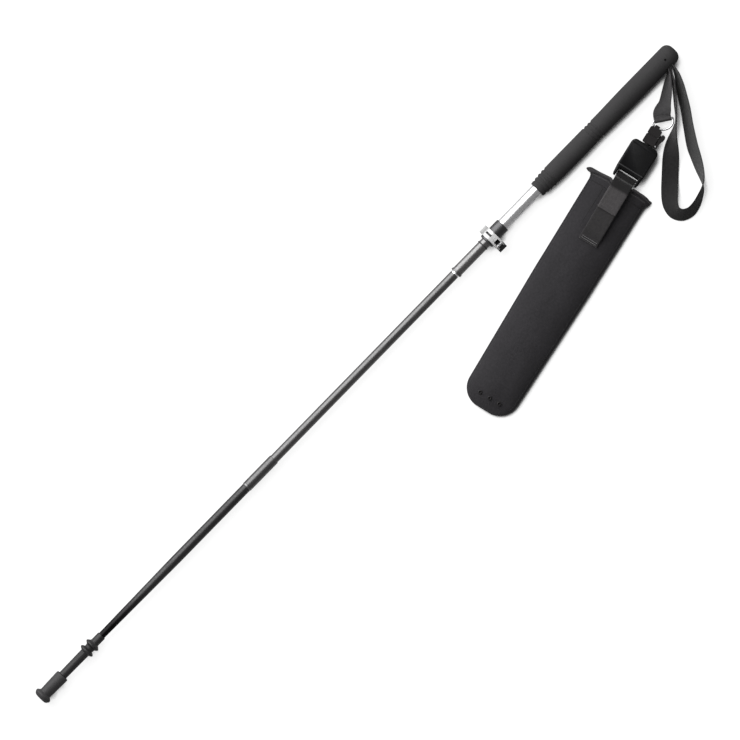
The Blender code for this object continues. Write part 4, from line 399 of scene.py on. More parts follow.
def ring_finish(name, node):
    """The lacquer of the shaft, with a bare bright line turned round the middle of the ring."""
    low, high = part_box(node)
    material, tree, shader = start_material(name, LACQUER, 0.22, IOR=1.6, Specular_IOR_Level=0.95)
    place = add(tree, "ShaderNodeTexCoord").outputs["Object"]
    along = add(tree, "ShaderNodeSeparateXYZ", {0: place}).outputs[0]
    away = calc(tree, "ABSOLUTE", calc(tree, "SUBTRACT", along, (low.x + high.x) / 2))
    bare = spread(tree, away, 0.00045, 0.00060, 1.0, 0.0)
    made = use(tree, HANDLED, Vector=place, Line_scale=TURNING_LINES, Lines=0.5,
               Colour=(0.15, 0.15, 0.15, 1.0), Roughness=0.26, Smudge=0.2)
    tree.links.new(bare, shader.inputs["Metallic"])
    tone = tint(tree, bare, LACQUER, made["Colour"])
    dress(tree, shader, tone, made["Roughness"], made["Height"], POLISH_RELIEF)
    return material


LOWER_RING = ring_finish("lower_ring_lacquer", "lower_joint_ring")
UPPER_RING = ring_finish("upper_ring_lacquer", "upper_joint_ring")
print("shaft finishes", 6)


# %% [markdown]
# Cloth: the straps are nylon webbing with a dull sheen, and the holster is laminated cloth, smooth from
# a step away and finely woven up close. The holster's cloth reads the same kind of map in metres.

# %% Cloth finishes
def webbing(name, colour, row_pitch=0.0011, yarn_pitch=0.0014, depth=0.00022, earlier=()):
    """Woven nylon, mapped in metres along and across, whose earlier lengths take other colours, some of them
    painted light and shade.
    """
    material, tree, shader = start_material(name, colour, 0.85, Sheen_Weight=0.2, Sheen_Roughness=0.4,
                                            Specular_IOR_Level=0.25)
    cloth_map = add(tree, "ShaderNodeUVMap", uv_map="cloth").outputs[0]
    made = use(tree, WEAVE, Vector=cloth_map, Row_pitch=row_pitch, Yarn_pitch=yarn_pitch,
               Colour=(*colour, 1.0), Shade_between=0.45)
    along = add(tree, "ShaderNodeSeparateXYZ", {0: cloth_map}).outputs[0]
    tone = colour
    for earlier_colour, length in earlier:
        past = spread(tree, along, length, length + 0.004, 0.0, 1.0)
        tone = tint(tree, past, earlier_colour, tone)
        tree.links.new(tone, made["Colour"].node.inputs["Colour"])
    dress(tree, shader, made["Colour"], made["Roughness"], made["Height"], depth)
    return material


def holster_cloth(name, colour):
    """Laminated cloth: a very fine weave, with a slow drift of tone."""
    material, tree, shader = start_material(name, colour, 0.82, Sheen_Weight=0.1, Sheen_Roughness=0.5,
                                            Specular_IOR_Level=0.22)
    cloth_map = add(tree, "ShaderNodeUVMap", uv_map="cloth").outputs[0]
    made = use(tree, WEAVE, Vector=cloth_map, Row_pitch=0.0007, Yarn_pitch=0.0007,
               Colour=(*colour, 1.0), Shade_between=0.3)
    place = add(tree, "ShaderNodeTexCoord").outputs["Object"]
    grain = use(tree, GRAIN, Vector=place, Grains_per_metre=500.0, Colour=made["Colour"],
                Tone_drift=0.3, Speckle=0.1, Roughness=0.8)
    dress(tree, shader, grain["Colour"], grain["Roughness"], made["Height"], 0.00009)
    return material


STRIP_SHADE_END = 0.156
# The wrist strap's first 178 mm, its first strand, is painted lighter: the light that falls on its tilted
# face.
WEBBING = webbing("nylon_webbing", (0.022, 0.021, 0.0215), earlier=(((0.060, 0.060, 0.060), 0.178),))
TETHER_WEBBING = webbing("tether_webbing", (0.064, 0.062, 0.064))
# From 98 mm to the end of its shade, where the strip turns down round the bar and back up under the case, it
# is painted near black as shade. Its first 98 mm have a darker tone of their own.
STRIP_WEBBING = webbing("strip_webbing", (0.074, 0.069, 0.071), 0.0009, 0.0010, 0.00012,
                        earlier=(((0.012, 0.0112, 0.0116), STRIP_SHADE_END), ((0.034, 0.032, 0.033), 0.098)))
BINDING = webbing("binding_tape", (0.056, 0.053, 0.056), 0.0008, 0.0009, 0.00012)
CLOTH = holster_cloth("laminated_cloth", (0.0285, 0.0268, 0.0298))
print("cloths", 5)


# %% [markdown]
# A few helpers build every piece. The first gives a piece its material, its body and the solid that it
# stands for. The others turn profiles about the staff's axis, sweep wires, round corners, and carve one
# shape out of another.

# %% Piece helpers
UP = Vector((0.0, 0.0, 1.0))
STITCH_LENGTH = 0.0026


def place_piece(name, mesh, material, node, hide=True, sharp=35, rides=True):
    """Finish a bmesh as an object that moves with a solid's body and, as a rule, stands for that solid."""
    data = bpy.data.meshes.new(name)
    bmesh.ops.recalc_face_normals(mesh, faces=mesh.faces)
    mesh.to_mesh(data)
    mesh.free()
    data.materials.append(material)
    data.shade_smooth()
    data.set_sharp_from_angle(angle=math.radians(sharp))
    piece = bpy.data.objects.new(name, data)
    bpy.context.scene.collection.objects.link(piece)
    if rides:
        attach(piece, BODY_OF[node])
    if hide:
        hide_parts(node)
    return piece


def eased(points, radius):
    """Round the corners of an open outline, each as far as its sides allow."""
    steps = 3
    made = [points[0]]
    for before, corner, after in zip(points, points[1:], points[2:]):
        here = Vector(corner)
        back = Vector(before) - here
        ahead = Vector(after) - here
        reach = min(radius, back.length * 0.45, ahead.length * 0.45)
        if reach < 1e-5 or back.angle(ahead) > math.radians(172):
            made.append(corner)
            continue
        first = here + back.normalized() * reach
        last = here + ahead.normalized() * reach
        for step in range(steps + 1):
            share = step / steps
            point = first * (1 - share) ** 2 + here * 2 * share * (1 - share) + last * share ** 2
            made.append(tuple(point))
    made.append(points[-1])
    return made


def turned(name, profile, material, node, sides):
    """Revolve an outline of (place along X, radius) about X, closing it into a ring of faces."""
    mesh = bmesh.new()
    corners = [mesh.verts.new((place, 0.0, radius)) for place, radius in profile]
    edges = []
    for first, second in zip(corners, corners[1:] + corners[:1]):
        if first.co.z > 1e-7 or second.co.z > 1e-7:
            edges.append(mesh.edges.new((first, second)))
    bmesh.ops.spin(mesh, geom=corners + edges, cent=(0, 0, 0), axis=(1, 0, 0), angle=2 * math.pi,
                   steps=sides, use_merge=True)
    bmesh.ops.remove_doubles(mesh, verts=mesh.verts, dist=1e-6)
    return place_piece(name, mesh, material, node)


def arc(centre, radius, start, end, steps):
    """Points of an arc, angles in degrees, both ends included."""
    points = []
    for step in range(steps + 1):
        angle = math.radians(start + (end - start) * step / steps)
        points.append((centre[0] + radius * math.cos(angle), centre[1] + radius * math.sin(angle)))
    return points


def curve_through(points, steps):
    """A smooth line through points, with a few places between each pair."""
    places = [Vector(point) for point in points]
    made = []
    last = len(places) - 1
    for index in range(last):
        before, first, second, after = (places[max(index - 1, 0)], places[index], places[index + 1],
                                        places[min(index + 2, last)])
        for step in range(steps):
            t = step / steps
            made.append(0.5 * (2 * first + (second - before) * t
                               + (2 * before - 5 * first + 4 * second - after) * t * t
                               + (3 * first - before - 3 * second + after) * t * t * t))
    made.append(places[last])
    return made


def sweep(mesh, points, radius, up, closed=False, sides=12):
    """Add a round wire through points to a bmesh, of one radius or of one for each point."""
    count = len(points)
    radii = radius if isinstance(radius, list) else [radius] * count
    rings = []
    for index, place in enumerate(points):
        if closed:
            along = points[(index + 1) % count] - points[index - 1]
        else:
            along = points[min(index + 1, count - 1)] - points[max(index - 1, 0)]
        side = along.cross(up).normalized()
        rise = side.cross(along).normalized()
        ring = []
        for corner in range(sides):
            angle = 2 * math.pi * corner / sides
            outward = math.cos(angle) * side + math.sin(angle) * rise
            ring.append(mesh.verts.new(place + radii[index] * outward))
        rings.append(ring)
    pairs = list(zip(rings, rings[1:]))
    if closed:
        pairs.append((rings[-1], rings[0]))
    else:
        mesh.faces.new(rings[0])
        mesh.faces.new(list(reversed(rings[-1])))
    for near, far in pairs:
        for corner in range(sides):
            after = (corner + 1) % sides
            mesh.faces.new((near[corner], near[after], far[after], far[corner]))


def stitches(name, line, node, material=THREAD, gap=0.0009, radius=0.00022):
    """A row of thread stitches along a line of points, each stitch sinking at its ends."""
    mesh = bmesh.new()
    travelled = 0.0
    marks = [(0.0, line[0])]
    for first, second in zip(line, line[1:]):
        travelled += (second - first).length
        marks.append((travelled, second))

    def at(distance):
        for (start, first), (end, second) in zip(marks, marks[1:]):
            if distance <= end:
                return first.lerp(second, (distance - start) / max(end - start, 1e-9))
        return marks[-1][1]

    begin = 0.0
    while begin + STITCH_LENGTH < travelled:
        points = []
        for share, lift in ((0.0, -0.6), (0.15, 0.5), (0.5, 0.9), (0.85, 0.5), (1.0, -0.6)):
            points.append(at(begin + STITCH_LENGTH * share) + UP * radius * lift)
        sweep(mesh, points, radius, UP, sides=6)
        begin += STITCH_LENGTH + gap
    return place_piece(name, mesh, material, node, hide=False)


def round_corners(piece, width, segments, degrees):
    """Bevel the edges of a piece that turn by more than an angle."""
    rounder = piece.modifiers.new("rounded corners", "BEVEL")
    rounder.width = width
    rounder.segments = segments
    rounder.limit_method = "ANGLE"
    rounder.angle_limit = math.radians(degrees)
    rounder.harden_normals = True


def softened(node, material, width, rides=True):
    """A finer copy of a solid: merged, its flat faces joined, its corners rounded and shaded smooth."""
    mesh = bmesh.new()
    mesh.from_mesh(NODES[node].data)
    bmesh.ops.remove_doubles(mesh, verts=mesh.verts, dist=2e-6)
    bmesh.ops.dissolve_limit(mesh, angle_limit=math.radians(0.6), verts=mesh.verts, edges=mesh.edges)
    piece = place_piece(node + "_fine", mesh, material, node, rides=rides)
    if width:
        round_corners(piece, width, 2, 38)
    return piece


def carve(piece, *cutters):
    """Cut shapes out of a piece for good, and delete the shapes."""
    for cutter in cutters:
        modifier = piece.modifiers.new("carve", "BOOLEAN")
        modifier.operation = "DIFFERENCE"
        modifier.object = cutter
    bpy.context.view_layer.update()
    graph = bpy.context.evaluated_depsgraph_get()
    carved = bpy.data.meshes.new_from_object(piece.evaluated_get(graph))
    piece.modifiers.clear()
    piece.data = carved
    for cutter in cutters:
        bpy.data.objects.remove(cutter)
    return piece


def in_scene(name, mesh):
    """Put a bmesh in the scene as a plain object."""
    data = bpy.data.meshes.new(name)
    mesh.to_mesh(data)
    mesh.free()
    made = bpy.data.objects.new(name, data)
    bpy.context.scene.collection.objects.link(made)
    return made


def drill(radius, segments, place):
    """A rod 20 mm long at a place, for carving a hole."""
    mesh = bmesh.new()
    bmesh.ops.create_cone(mesh, cap_ends=True, segments=segments, radius1=radius, radius2=radius, depth=0.02,
                          matrix=place)
    return in_scene("drill", mesh)


def block(low, high):
    """A box between two corners, for carving."""
    mesh = bmesh.new()
    bmesh.ops.create_cube(mesh, size=1.0)
    for vert in mesh.verts:
        vert.co = Vector([low[k] + (vert.co[k] + 0.5) * (high[k] - low[k]) for k in range(3)])
    return in_scene("carving_block", mesh)


print("helpers ready")

# %% [markdown]
# The small rigid pieces already have their true shape as solids. What they lack is what a camera sees
# first: rounded corners that catch the light, and smooth shading. Each gets a finer copy with a bevel.

# %% Small rigid pieces
FIT = 0.0003
FINE_PIECES = {
    "tip_holder": (HOLDER, 0.0005), "carbide_tip": (CARBIDE, 0.0002), "lower_tube": (SHADED_LOWER_SHAFT, 0.0002),
    "middle_tube": (SHAFT, 0.0002), "middle_sleeve": (SLEEVE, 0.0002), "upper_tube": (LIT_UPPER_SHAFT, 0.0002),
    "lower_ferrule": (TUBE_METAL, 0.0003), "middle_ferrule": (TUBE_METAL, 0.0003),
    "lower_joint_ring": (LOWER_RING, 0.0003), "upper_joint_ring": (UPPER_RING, 0.0003),
    "stop_ring": (RUBBER, 0.0002), "guide_bush": (PLASTIC, 0.0003), "snap_button": (STEEL, 0.0003),
    "clamp_collar": (COLLAR, 0.0004), "clamp_band": (SLOT_SHADED_BAND, 0.0003), "lock_lever": (CAST_METAL, 0.0004),
    "lever_pin": (STEEL, 0.0002), "clamp_screw": (STEEL, 0.0002), "handle_tube": (TUBE_METAL, 0.0002),
    "grip_anchor": (PLASTIC, 0.0003), "strap_pin": (DARK_PIN, 0.0003),
    "release_plug": (PLASTIC, 0.0005), "release_socket": (PLASTIC, 0.0005),
    "latch_pin": (STEEL, 0.0002), "case_front": (CASE_PLASTIC, 0.0008), "case_back": (CASE_PLASTIC, 0.0008),
    "case_screw_left": (STEEL, 0.0002), "case_screw_right": (STEEL, 0.0002),
    "strap_bar": (RING_METAL, 0.0002),
    "line_nozzle": (PLASTIC, 0.0003), "line_spool": (PLASTIC, 0.0003), "spool_axle": (STEEL, 0.0003),
    "rubber_foot": (RUBBER, 0.0006),
    "drain_eyelet_left": (PLASTIC, 0.0002), "drain_eyelet_centre": (PLASTIC, 0.0002),
    "drain_eyelet_right": (PLASTIC, 0.0002),
}
for node, (material, width) in FINE_PIECES.items():
    softened(node, material, width)
print("fine pieces", len(FINE_PIECES))

# %% [markdown]
# Pieces that nothing shows unless the staff is taken apart keep their solids and only get their real
# material: the tension cord and its crimps, the springs, and the line on its way to the spool. The runs
# of cord that cross a joint, and the sprung band under the button, are drawn again as pieces that no body
# carries.

# %% Hidden pieces
HIDDEN_LOOKS = {
    "cord_upper": CORD, "cord_middle": CORD, "cord_lower": CORD, "tether_line": CORD,
    "cord_crimp_upper": STEEL, "cord_crimp_lower": STEEL, "tension_spring": STEEL, "power_spring": STEEL,
}
for node, material in HIDDEN_LOOKS.items():
    NODES[node].data.materials.clear()
    NODES[node].data.materials.append(material)
print("kept solids", len(HIDDEN_LOOKS))


def cord_piece(name, node, radius, ends, hide=False, frame=Matrix()):
    """A straight run of cord along x between two places, which no body carries."""
    mesh = bmesh.new()
    near, far = ends
    points = [frame @ Vector((near + (far - near) * step / 160, 0.0, 0.0)) for step in range(161)]
    sweep(mesh, points, radius, UP)
    piece = place_piece(name, mesh, CORD, node, hide=hide, rides=False)
    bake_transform(piece)
    return piece


# Where a joint is pulled open and folded, the cord stretches out of the one tube and turns into the other.
for node, upper, link, lower, ferrule, way in (
        ("cord_link_upper", "upper_shaft", "upper_link", "middle_shaft", "middle_ferrule", 1),
        ("cord_link_lower", "middle_shaft", "lower_link", "lower_shaft", "lower_ferrule", -1)):
    low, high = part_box(node)
    radius = (high.y - low.y) / 2
    cord_piece(node + "_stretch", node, radius - 0.0001, (high.x + 0.0034, high.x - 0.0012))
    cord_piece(node + "_turn", node, radius, (high.x, low.x),
               True)

# The button's sprung band gives way under the button: its near side goes in with it.
button_band = softened("button_spring", STEEL, 0.0, rides=False)
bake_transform(button_band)

# %% [markdown]
# The grip is closed-cell foam, ground to shape: four ribs at its foot end, three grooves under the
# palm, a fuller top and a rounded end. It is turned from one profile. Ribs are a cosine wave, because a
# grinding wheel leaves no hard corners in foam. The mouth for the straps is carved out of its side.

# %% Grip
grip_low, grip_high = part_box("grip_foam")
GRIP_START = grip_low.x
GRIP_TOP = grip_high.x
GRIP_TOP_RADIUS = 0.0153
GRIP_WAIST_RADIUS = 0.0144
GRIP_BOTTOM_RADIUS = 0.0122
ANCHOR_RADIUS = GRIP_TOP_RADIUS - 0.0022
STRAP_X = GRIP_TOP - 0.0207
WEB = 0.0019
PIN_RADIUS = 0.0016
PIN_DEPTH = 0.0015
STRAND_OFFSET = PIN_RADIUS + FIT + WEB / 2
TETHER_OFFSET = STRAND_OFFSET + WEB + 2 * FIT
SLOT_HALF = 0.0174 / 2 + 2 * FIT


def grip_radius(place):
    """Radius of the plain grip, fuller toward the top."""
    share = (place - GRIP_START) / (GRIP_TOP - GRIP_START)
    if share < 0.10:
        rise = math.sin(share / 0.10 * math.pi / 2)
        return GRIP_BOTTOM_RADIUS + (GRIP_WAIST_RADIUS - GRIP_BOTTOM_RADIUS) * rise
    if share < 0.45:
        return GRIP_WAIST_RADIUS
    swell = min(1.0, (share - 0.45) / 0.25)
    return GRIP_WAIST_RADIUS + (GRIP_TOP_RADIUS - GRIP_WAIST_RADIUS) * (1 - math.cos(swell * math.pi)) / 2


def groove_depth(place):
    """How deep the ribs and grooves cut at a place along the grip."""
    for first, count, pitch, depth in ((GRIP_START + 0.0069, 4, 0.0069, 0.0013),
                                       (GRIP_START + 0.1096, 3, 0.0063, 0.0012)):
        index = round((place - first) / pitch)
        away = abs(place - first - index * pitch) / (0.34 * pitch)
        if 0 <= index < count and away < 1:
            return depth * (0.5 + 0.5 * math.cos(math.pi * away)) ** 0.7
    return 0.0


outline = [(GRIP_START, 0.0098), (GRIP_START, GRIP_BOTTOM_RADIUS - 0.0012)]
outline += arc((GRIP_START + 0.0010, GRIP_BOTTOM_RADIUS - 0.0010), 0.0010, 170, 100, 4)
crown_start = GRIP_TOP - 0.0110
places = [GRIP_START + 0.0014 + (crown_start - GRIP_START - 0.0014) * step / 460 for step in range(460)]
outline += [(place, grip_radius(place) - groove_depth(place)) for place in places]
outline += arc((crown_start, GRIP_TOP_RADIUS - 0.0110), 0.0110, 90, 0, 14)
hollow = GRIP_TOP - 0.0098
outline += [(GRIP_TOP, 0.0), (hollow, 0.0), (hollow, ANCHOR_RADIUS + FIT),
            (STRAP_X - 0.0098, ANCHOR_RADIUS + FIT), (STRAP_X - 0.0098, 0.0098)]
grip = turned("foam_grip", outline, FOAM, "grip_foam", sides=112)
mouth = block((STRAP_X - TETHER_OFFSET - 2 * WEB, -2 * GRIP_TOP_RADIUS, -SLOT_HALF),
              (STRAP_X + STRAND_OFFSET + WEB, -ANCHOR_RADIUS * 0.6, SLOT_HALF))
carve(grip, mouth, drill(PIN_RADIUS, 32, Matrix.Translation((STRAP_X, -PIN_DEPTH, 0.018))))
grip.data.set_sharp_from_angle(angle=math.radians(50))
print("grip faces", len(grip.data.polygons))


# %% [markdown]
# A strap is a flat band whose edges are rounded by the weave's turn. It is swept from stations: a place,
# the direction across, and a width. The same routine writes the cloth map, in metres, while it goes. The
# edges are a little thicker than the middle, as on real webbing.

# %% Strap helpers
def section(width):
    """Half-widths and heights round a strap's cross-section, with full edges."""
    half = width / 2
    edge = WEB / 2
    points = []
    for share in (-0.86, -0.6, -0.3, 0.0, 0.3, 0.6, 0.86):
        points.append((share * half, -edge * (0.86 if abs(share) < 0.8 else 0.97)))
    for angle in (-65, -25, 25, 65):
        turn = math.radians(angle)
        points.append((half - edge * 0.9 + edge * 0.9 * math.cos(turn), edge * math.sin(turn)))
    for share in (0.86, 0.6, 0.3, 0.0, -0.3, -0.6, -0.86):
        points.append((share * half, edge * (0.86 if abs(share) < 0.8 else 0.97)))
    for angle in (115, 155, 205, 245):
        turn = math.radians(angle)
        points.append((-half + edge * 0.9 + edge * 0.9 * math.cos(turn), edge * math.sin(turn)))
    return points


def band(name, stations, material, node, closed=False, frame_of=None):
    """Sweep a strap through stations of (place, across, width) and map it in metres."""
    mesh = bmesh.new()
    cloth_map = mesh.loops.layers.uv.new("cloth")
    rings = []
    travelled = 0.0
    count = len(stations)
    lengths = []
    for index, (place, across, width) in enumerate(stations):
        if index:
            travelled += (place - stations[index - 1][0]).length
        lengths.append(travelled)
        before = stations[index - 1][0] if index or closed else place
        after = stations[(index + 1) % count][0] if index < count - 1 or closed else place
        along = (after - before).normalized()
        side = (across - along * across.dot(along)).normalized()
        lift = along.cross(side).normalized()
        outline = section(width)
        rings.append([(mesh.verts.new(place + side * u + lift * v), u) for u, v in outline])
    pairs = [(index, index + 1) for index in range(count - 1)]
    if closed:
        pairs.append((count - 1, 0))
        lengths.append(travelled + (stations[0][0] - stations[-1][0]).length)
    size = len(rings[0])
    for first, second in pairs:
        end = lengths[first + 1]
        for corner in range(size):
            after = (corner + 1) % size
            face = mesh.faces.new((rings[first][corner][0], rings[first][after][0],
                                   rings[second][after][0], rings[second][corner][0]))
            values = ((lengths[first], rings[first][corner][1]), (lengths[first], rings[first][after][1]),
                      (end, rings[second][after][1]), (end, rings[second][corner][1]))
            for loop, value in zip(face.loops, values):
                loop[cloth_map].uv = value
    if not closed:
        for ring in (rings[0], list(reversed(rings[-1]))):
            face = mesh.faces.new([vert for vert, u in ring])
            for loop, (vert, u) in zip(face.loops, ring):
                loop[cloth_map].uv = (vert.co.z, u)
    if frame_of:
        bmesh.ops.transform(mesh, matrix=frame_of, verts=mesh.verts)
    return place_piece(name, mesh, material, node, sharp=60)


def stations_along(route, steps):
    """Stations of a strap whose route gives x, y, z, tilt in degrees and width."""
    places = curve_through([(x, y, z) for x, y, z, tilt, width in route], steps)
    forms = curve_through([(tilt, width, 0.0) for x, y, z, tilt, width in route], steps)
    made = []
    last = len(places) - 1
    for index, place in enumerate(places):
        along = places[min(index + 1, last)] - places[max(index - 1, 0)]
        flat = Vector((-along.y, along.x, 0.0)).normalized()
        tilt = math.radians(forms[index].x)
        made.append((place, flat * math.cos(tilt) + Vector((0.0, 0.0, math.sin(tilt))), forms[index].y))
    return made


def lying(tilt, width):
    """Height of a strap's middle when its lower edge rests on the floor."""
    angle = math.radians(tilt)
    return FLOOR + FIT + abs(math.sin(angle)) * width / 2 + abs(math.cos(angle)) * WEB / 2


print("section points", len(section(0.0244)))

# %% [markdown]
# The wrist strap is one endless loop. It leaves the grip on edge, leans over as it runs down, makes a
# half turn at the bottom and comes back lying flat. Its route is a list of places with a tilt, and its
# height follows from the tilt, because its lower edge rests on the floor.

# %% Wrist strap
STRAP_WIDTH = 0.0244
GATHERED = 0.0174
LOOP = [
    (-0.0084, -0.0397, 68), (-0.0162, -0.0517, 62), (-0.0283, -0.0710, 60), (-0.0428, -0.0907, 58),
    (-0.0589, -0.1142, 53), (-0.0668, -0.1290, 56), (-0.0751, -0.1444, 64), (-0.0835, -0.1585, 80),
    (-0.0925, -0.1680, 100), (-0.1053, -0.1745, 112), (-0.1170, -0.1785, 120), (-0.1290, -0.1795, 126),
    (-0.1400, -0.1745, 132), (-0.1450, -0.1650, 138), (-0.1430, -0.1550, 148), (-0.1370, -0.1460, 160),
    (-0.1258, -0.1348, 172), (-0.1119, -0.1223, 180), (-0.0969, -0.1088, 172), (-0.0818, -0.0958, 142),
    (-0.0693, -0.0860, 114), (-0.0580, -0.0785, 96), (-0.0478, -0.0712, 90), (-0.0318, -0.0535, 94),
    (-0.0167, -0.0365, 96),
]
route = [
    (STRAP_X + STRAND_OFFSET, -PIN_DEPTH, 0.0, 90, GATHERED),
    (STRAP_X + STRAND_OFFSET, -ANCHOR_RADIUS * 0.75, 0.0, 90, GATHERED),
    (STRAP_X + STRAND_OFFSET - 0.0003, -GRIP_TOP_RADIUS - 0.0010, 0.0, 88, GATHERED + 0.0005),
    (STRAP_X - 0.0010, -0.0265, -0.0015, 76, GATHERED + 0.0040),
]
route += [(STRAP_X + x, y, lying(tilt, STRAP_WIDTH), tilt, STRAP_WIDTH) for x, y, tilt in LOOP]
route += [
    (STRAP_X - 0.0078, -0.0235, -0.0015, 94, GATHERED + 0.0030),
    (STRAP_X - STRAND_OFFSET - 0.0004, -GRIP_TOP_RADIUS, 0.0, 90, GATHERED),
    (STRAP_X - STRAND_OFFSET, -ANCHOR_RADIUS * 0.7, 0.0, 90, GATHERED),
    (STRAP_X - STRAND_OFFSET, -PIN_DEPTH, 0.0, 90, GATHERED),
]
strap_stations = stations_along(route, 6)
for angle in range(165, 0, -15):
    turn = math.radians(angle)
    strap_stations.append((Vector((STRAP_X + STRAND_OFFSET * math.cos(turn),
                                   -PIN_DEPTH + STRAND_OFFSET * math.sin(turn), 0.0)), UP, GATHERED))
band("wrist_strap_woven", strap_stations, WEBBING, "wrist_strap", closed=True)
strap_length = sum((second[0] - first[0]).length for first, second in zip(strap_stations, strap_stations[1:]))
print("wrist strap length in mm", round(strap_length * 1000))

# %% [markdown]
# The tether webbing is a short tail. It leaves the same slot, turns flat on its way down and folds
# round the ring's bar, where a row of stitches holds the hem.

# %% Tether webbing
RING_PLACE = Vector((GRIP_TOP - 0.0830, -0.0585, FLOOR + 0.0100))
RING_TURN = math.radians(-34.4)
RING_WIRE = 0.0015
RING_DEPTH = 0.0148
RING_LEG = 0.0030
TETHER_WIDTH = 0.0252
RING_HALF = TETHER_WIDTH / 2 + FIT + RING_WIRE
RING_FRAME = Matrix.Translation(RING_PLACE) @ Matrix.Rotation(RING_TURN, 4, "Z")
HEM = 0.0080

bar_line = RING_WIRE + FIT + WEB / 2
lift = WEB / 2 + FIT / 2
curl = [(0.0, HEM, lift), (0.0, HEM * 0.5, lift)]
curl += [(0.0, -bar_line * math.cos(math.radians(a)), bar_line * math.sin(math.radians(a)))
         for a in (90, 60, 30, 0, -30, -60, -90)]
curl += [(0.0, HEM * 0.5, -lift), (0.0, HEM, -lift)]
tail = STRAP_X - TETHER_OFFSET
route = [
    (tail, PIN_DEPTH - PIN_RADIUS, 0.0, 90, GATHERED),
    (tail, -ANCHOR_RADIUS * 0.9, 0.0, 90, GATHERED),
    (tail - 0.0010, -GRIP_TOP_RADIUS, 0.0, 88, GATHERED),
    (tail - 0.0040, -GRIP_TOP_RADIUS - 0.0042, -0.0010, 80, GATHERED + 0.0010),
    (tail - 0.0130, -0.0262, -0.0018, 66, TETHER_WIDTH - 0.0030),
    (tail - 0.0250, -0.0352, -0.0026, 59, TETHER_WIDTH),
    (tail - 0.0370, -0.0436, -0.0034, 50, TETHER_WIDTH),
    (tail - 0.0440, -0.0475, -0.0038, 30, TETHER_WIDTH),
]
hem_places = [RING_FRAME @ Vector(point) for point in curl]
route.append((*hem_places[0], 0, TETHER_WIDTH))
ring_across = (RING_FRAME.to_3x3() @ Vector((1.0, 0.0, 0.0))).normalized()
tether_stations = stations_along(route, 6)[:-1]
for index in range(-10, 0):
    place, across, width = tether_stations[index]
    share = (11 + index) / 11
    flat_part = Vector((across.x, across.y, 0.0)).lerp(ring_across * (1.0 - across.z ** 2) ** 0.5, share)
    tether_stations[index] = (place, flat_part + Vector((0.0, 0.0, across.z)), width)
tether_stations += [(place, ring_across, TETHER_WIDTH) for place in curve_through(hem_places, 4)]
band("tether_webbing_woven", tether_stations, TETHER_WEBBING, "tether_webbing")
for row, back in enumerate((0.0035, 0.0075)):
    seam = [RING_FRAME @ Vector((-0.0112 + 0.0224 * step / 12, back, lift + WEB / 2)) for step in range(13)]
    stitches("tether_stitches_%d" % (row + 1), seam, "tether_webbing")
print("tether stations", len(tether_stations))

# %% [markdown]
# The ring is plated wire, bent to a straight bar and a half-round bow. It is swept with a round section
# of sixteen sides along the same line as its solid, only finer.

# %% Ring
def bow_point(angle):
    """A point on the middle of the ring's bow, in the ring's own frame."""
    return Vector((RING_HALF * math.cos(angle), -RING_LEG - (RING_DEPTH - RING_LEG) * math.sin(angle), 0.0))


RING_CORNER = 0.0010
straight = RING_HALF - RING_CORNER
line = [Vector((-straight + 2 * straight * step / 8, 0.0, 0.0)) for step in range(9)]
line.append(Vector((RING_HALF - RING_CORNER * 0.3, -RING_CORNER * 0.3, 0.0)))
line.append(Vector((RING_HALF, -RING_CORNER, 0.0)))
line += [bow_point(math.pi * step / 40) for step in range(41)]
line.append(Vector((-RING_HALF, -RING_CORNER, 0.0)))
line.append(Vector((-(RING_HALF - RING_CORNER * 0.3), -RING_CORNER * 0.3, 0.0)))
mesh = bmesh.new()
sweep(mesh, line, RING_WIRE * 0.98, UP, closed=True, sides=16)
bmesh.ops.transform(mesh, matrix=RING_FRAME, verts=mesh.verts)
place_piece("ring_wire", mesh, RING_METAL, "d_ring", sharp=80)
print("ring line points", len(line))

# %% [markdown]
# Everything past the ring lies in one line, so it is easier to build along a straight axis and then turn
# it. The tether's frame has its X along the tether. Its start follows from where the clip's eye hangs
# on the bow.

# %% The tether's frame
CHAIN_TURN = math.radians(192.5)
swing = CHAIN_TURN - RING_TURN
held = math.atan2(-(RING_DEPTH - RING_LEG) * math.sin(swing), RING_HALF * math.cos(swing))
EYE_INSET = 0.0022
chain_turned = Matrix.Rotation(CHAIN_TURN, 4, "Z")
chain_start = RING_FRAME @ bow_point(held) - chain_turned @ Vector((EYE_INSET, 0, 0))
CHAIN = Matrix.Translation(chain_start) @ chain_turned
CHAIN_Z = RING_PLACE.z
print("tether starts at", [round(part * 1000, 1) for part in CHAIN.translation])

# %% [markdown]
# The quick release's latch is a long finger lever with a swollen thumb pad, so it is drawn again from a
# rounder outline than its solid. A thin guard on the socket closes the gap under it, which keeps line
# out of the hinge. Both are flat outlines pushed to a height and bevelled.

# %% Release latch and guard
def slab(name, outline, low, high, material, node, hide=True, round_off=0.0006):
    """A flat outline in the tether's frame, pushed up between two heights and bevelled."""
    mesh = bmesh.new()
    bottom = [mesh.verts.new(CHAIN @ Vector((place, across, low))) for place, across in outline]
    top = [mesh.verts.new(CHAIN @ Vector((place, across, high))) for place, across in outline]
    mesh.faces.new(bottom[::-1])
    mesh.faces.new(top)
    for index in range(len(outline)):
        after = (index + 1) % len(outline)
        mesh.faces.new((bottom[index], bottom[after], top[after], top[index]))
    piece = place_piece(name, mesh, material, node, hide)
    round_corners(piece, round_off, 3, 50)
    return piece


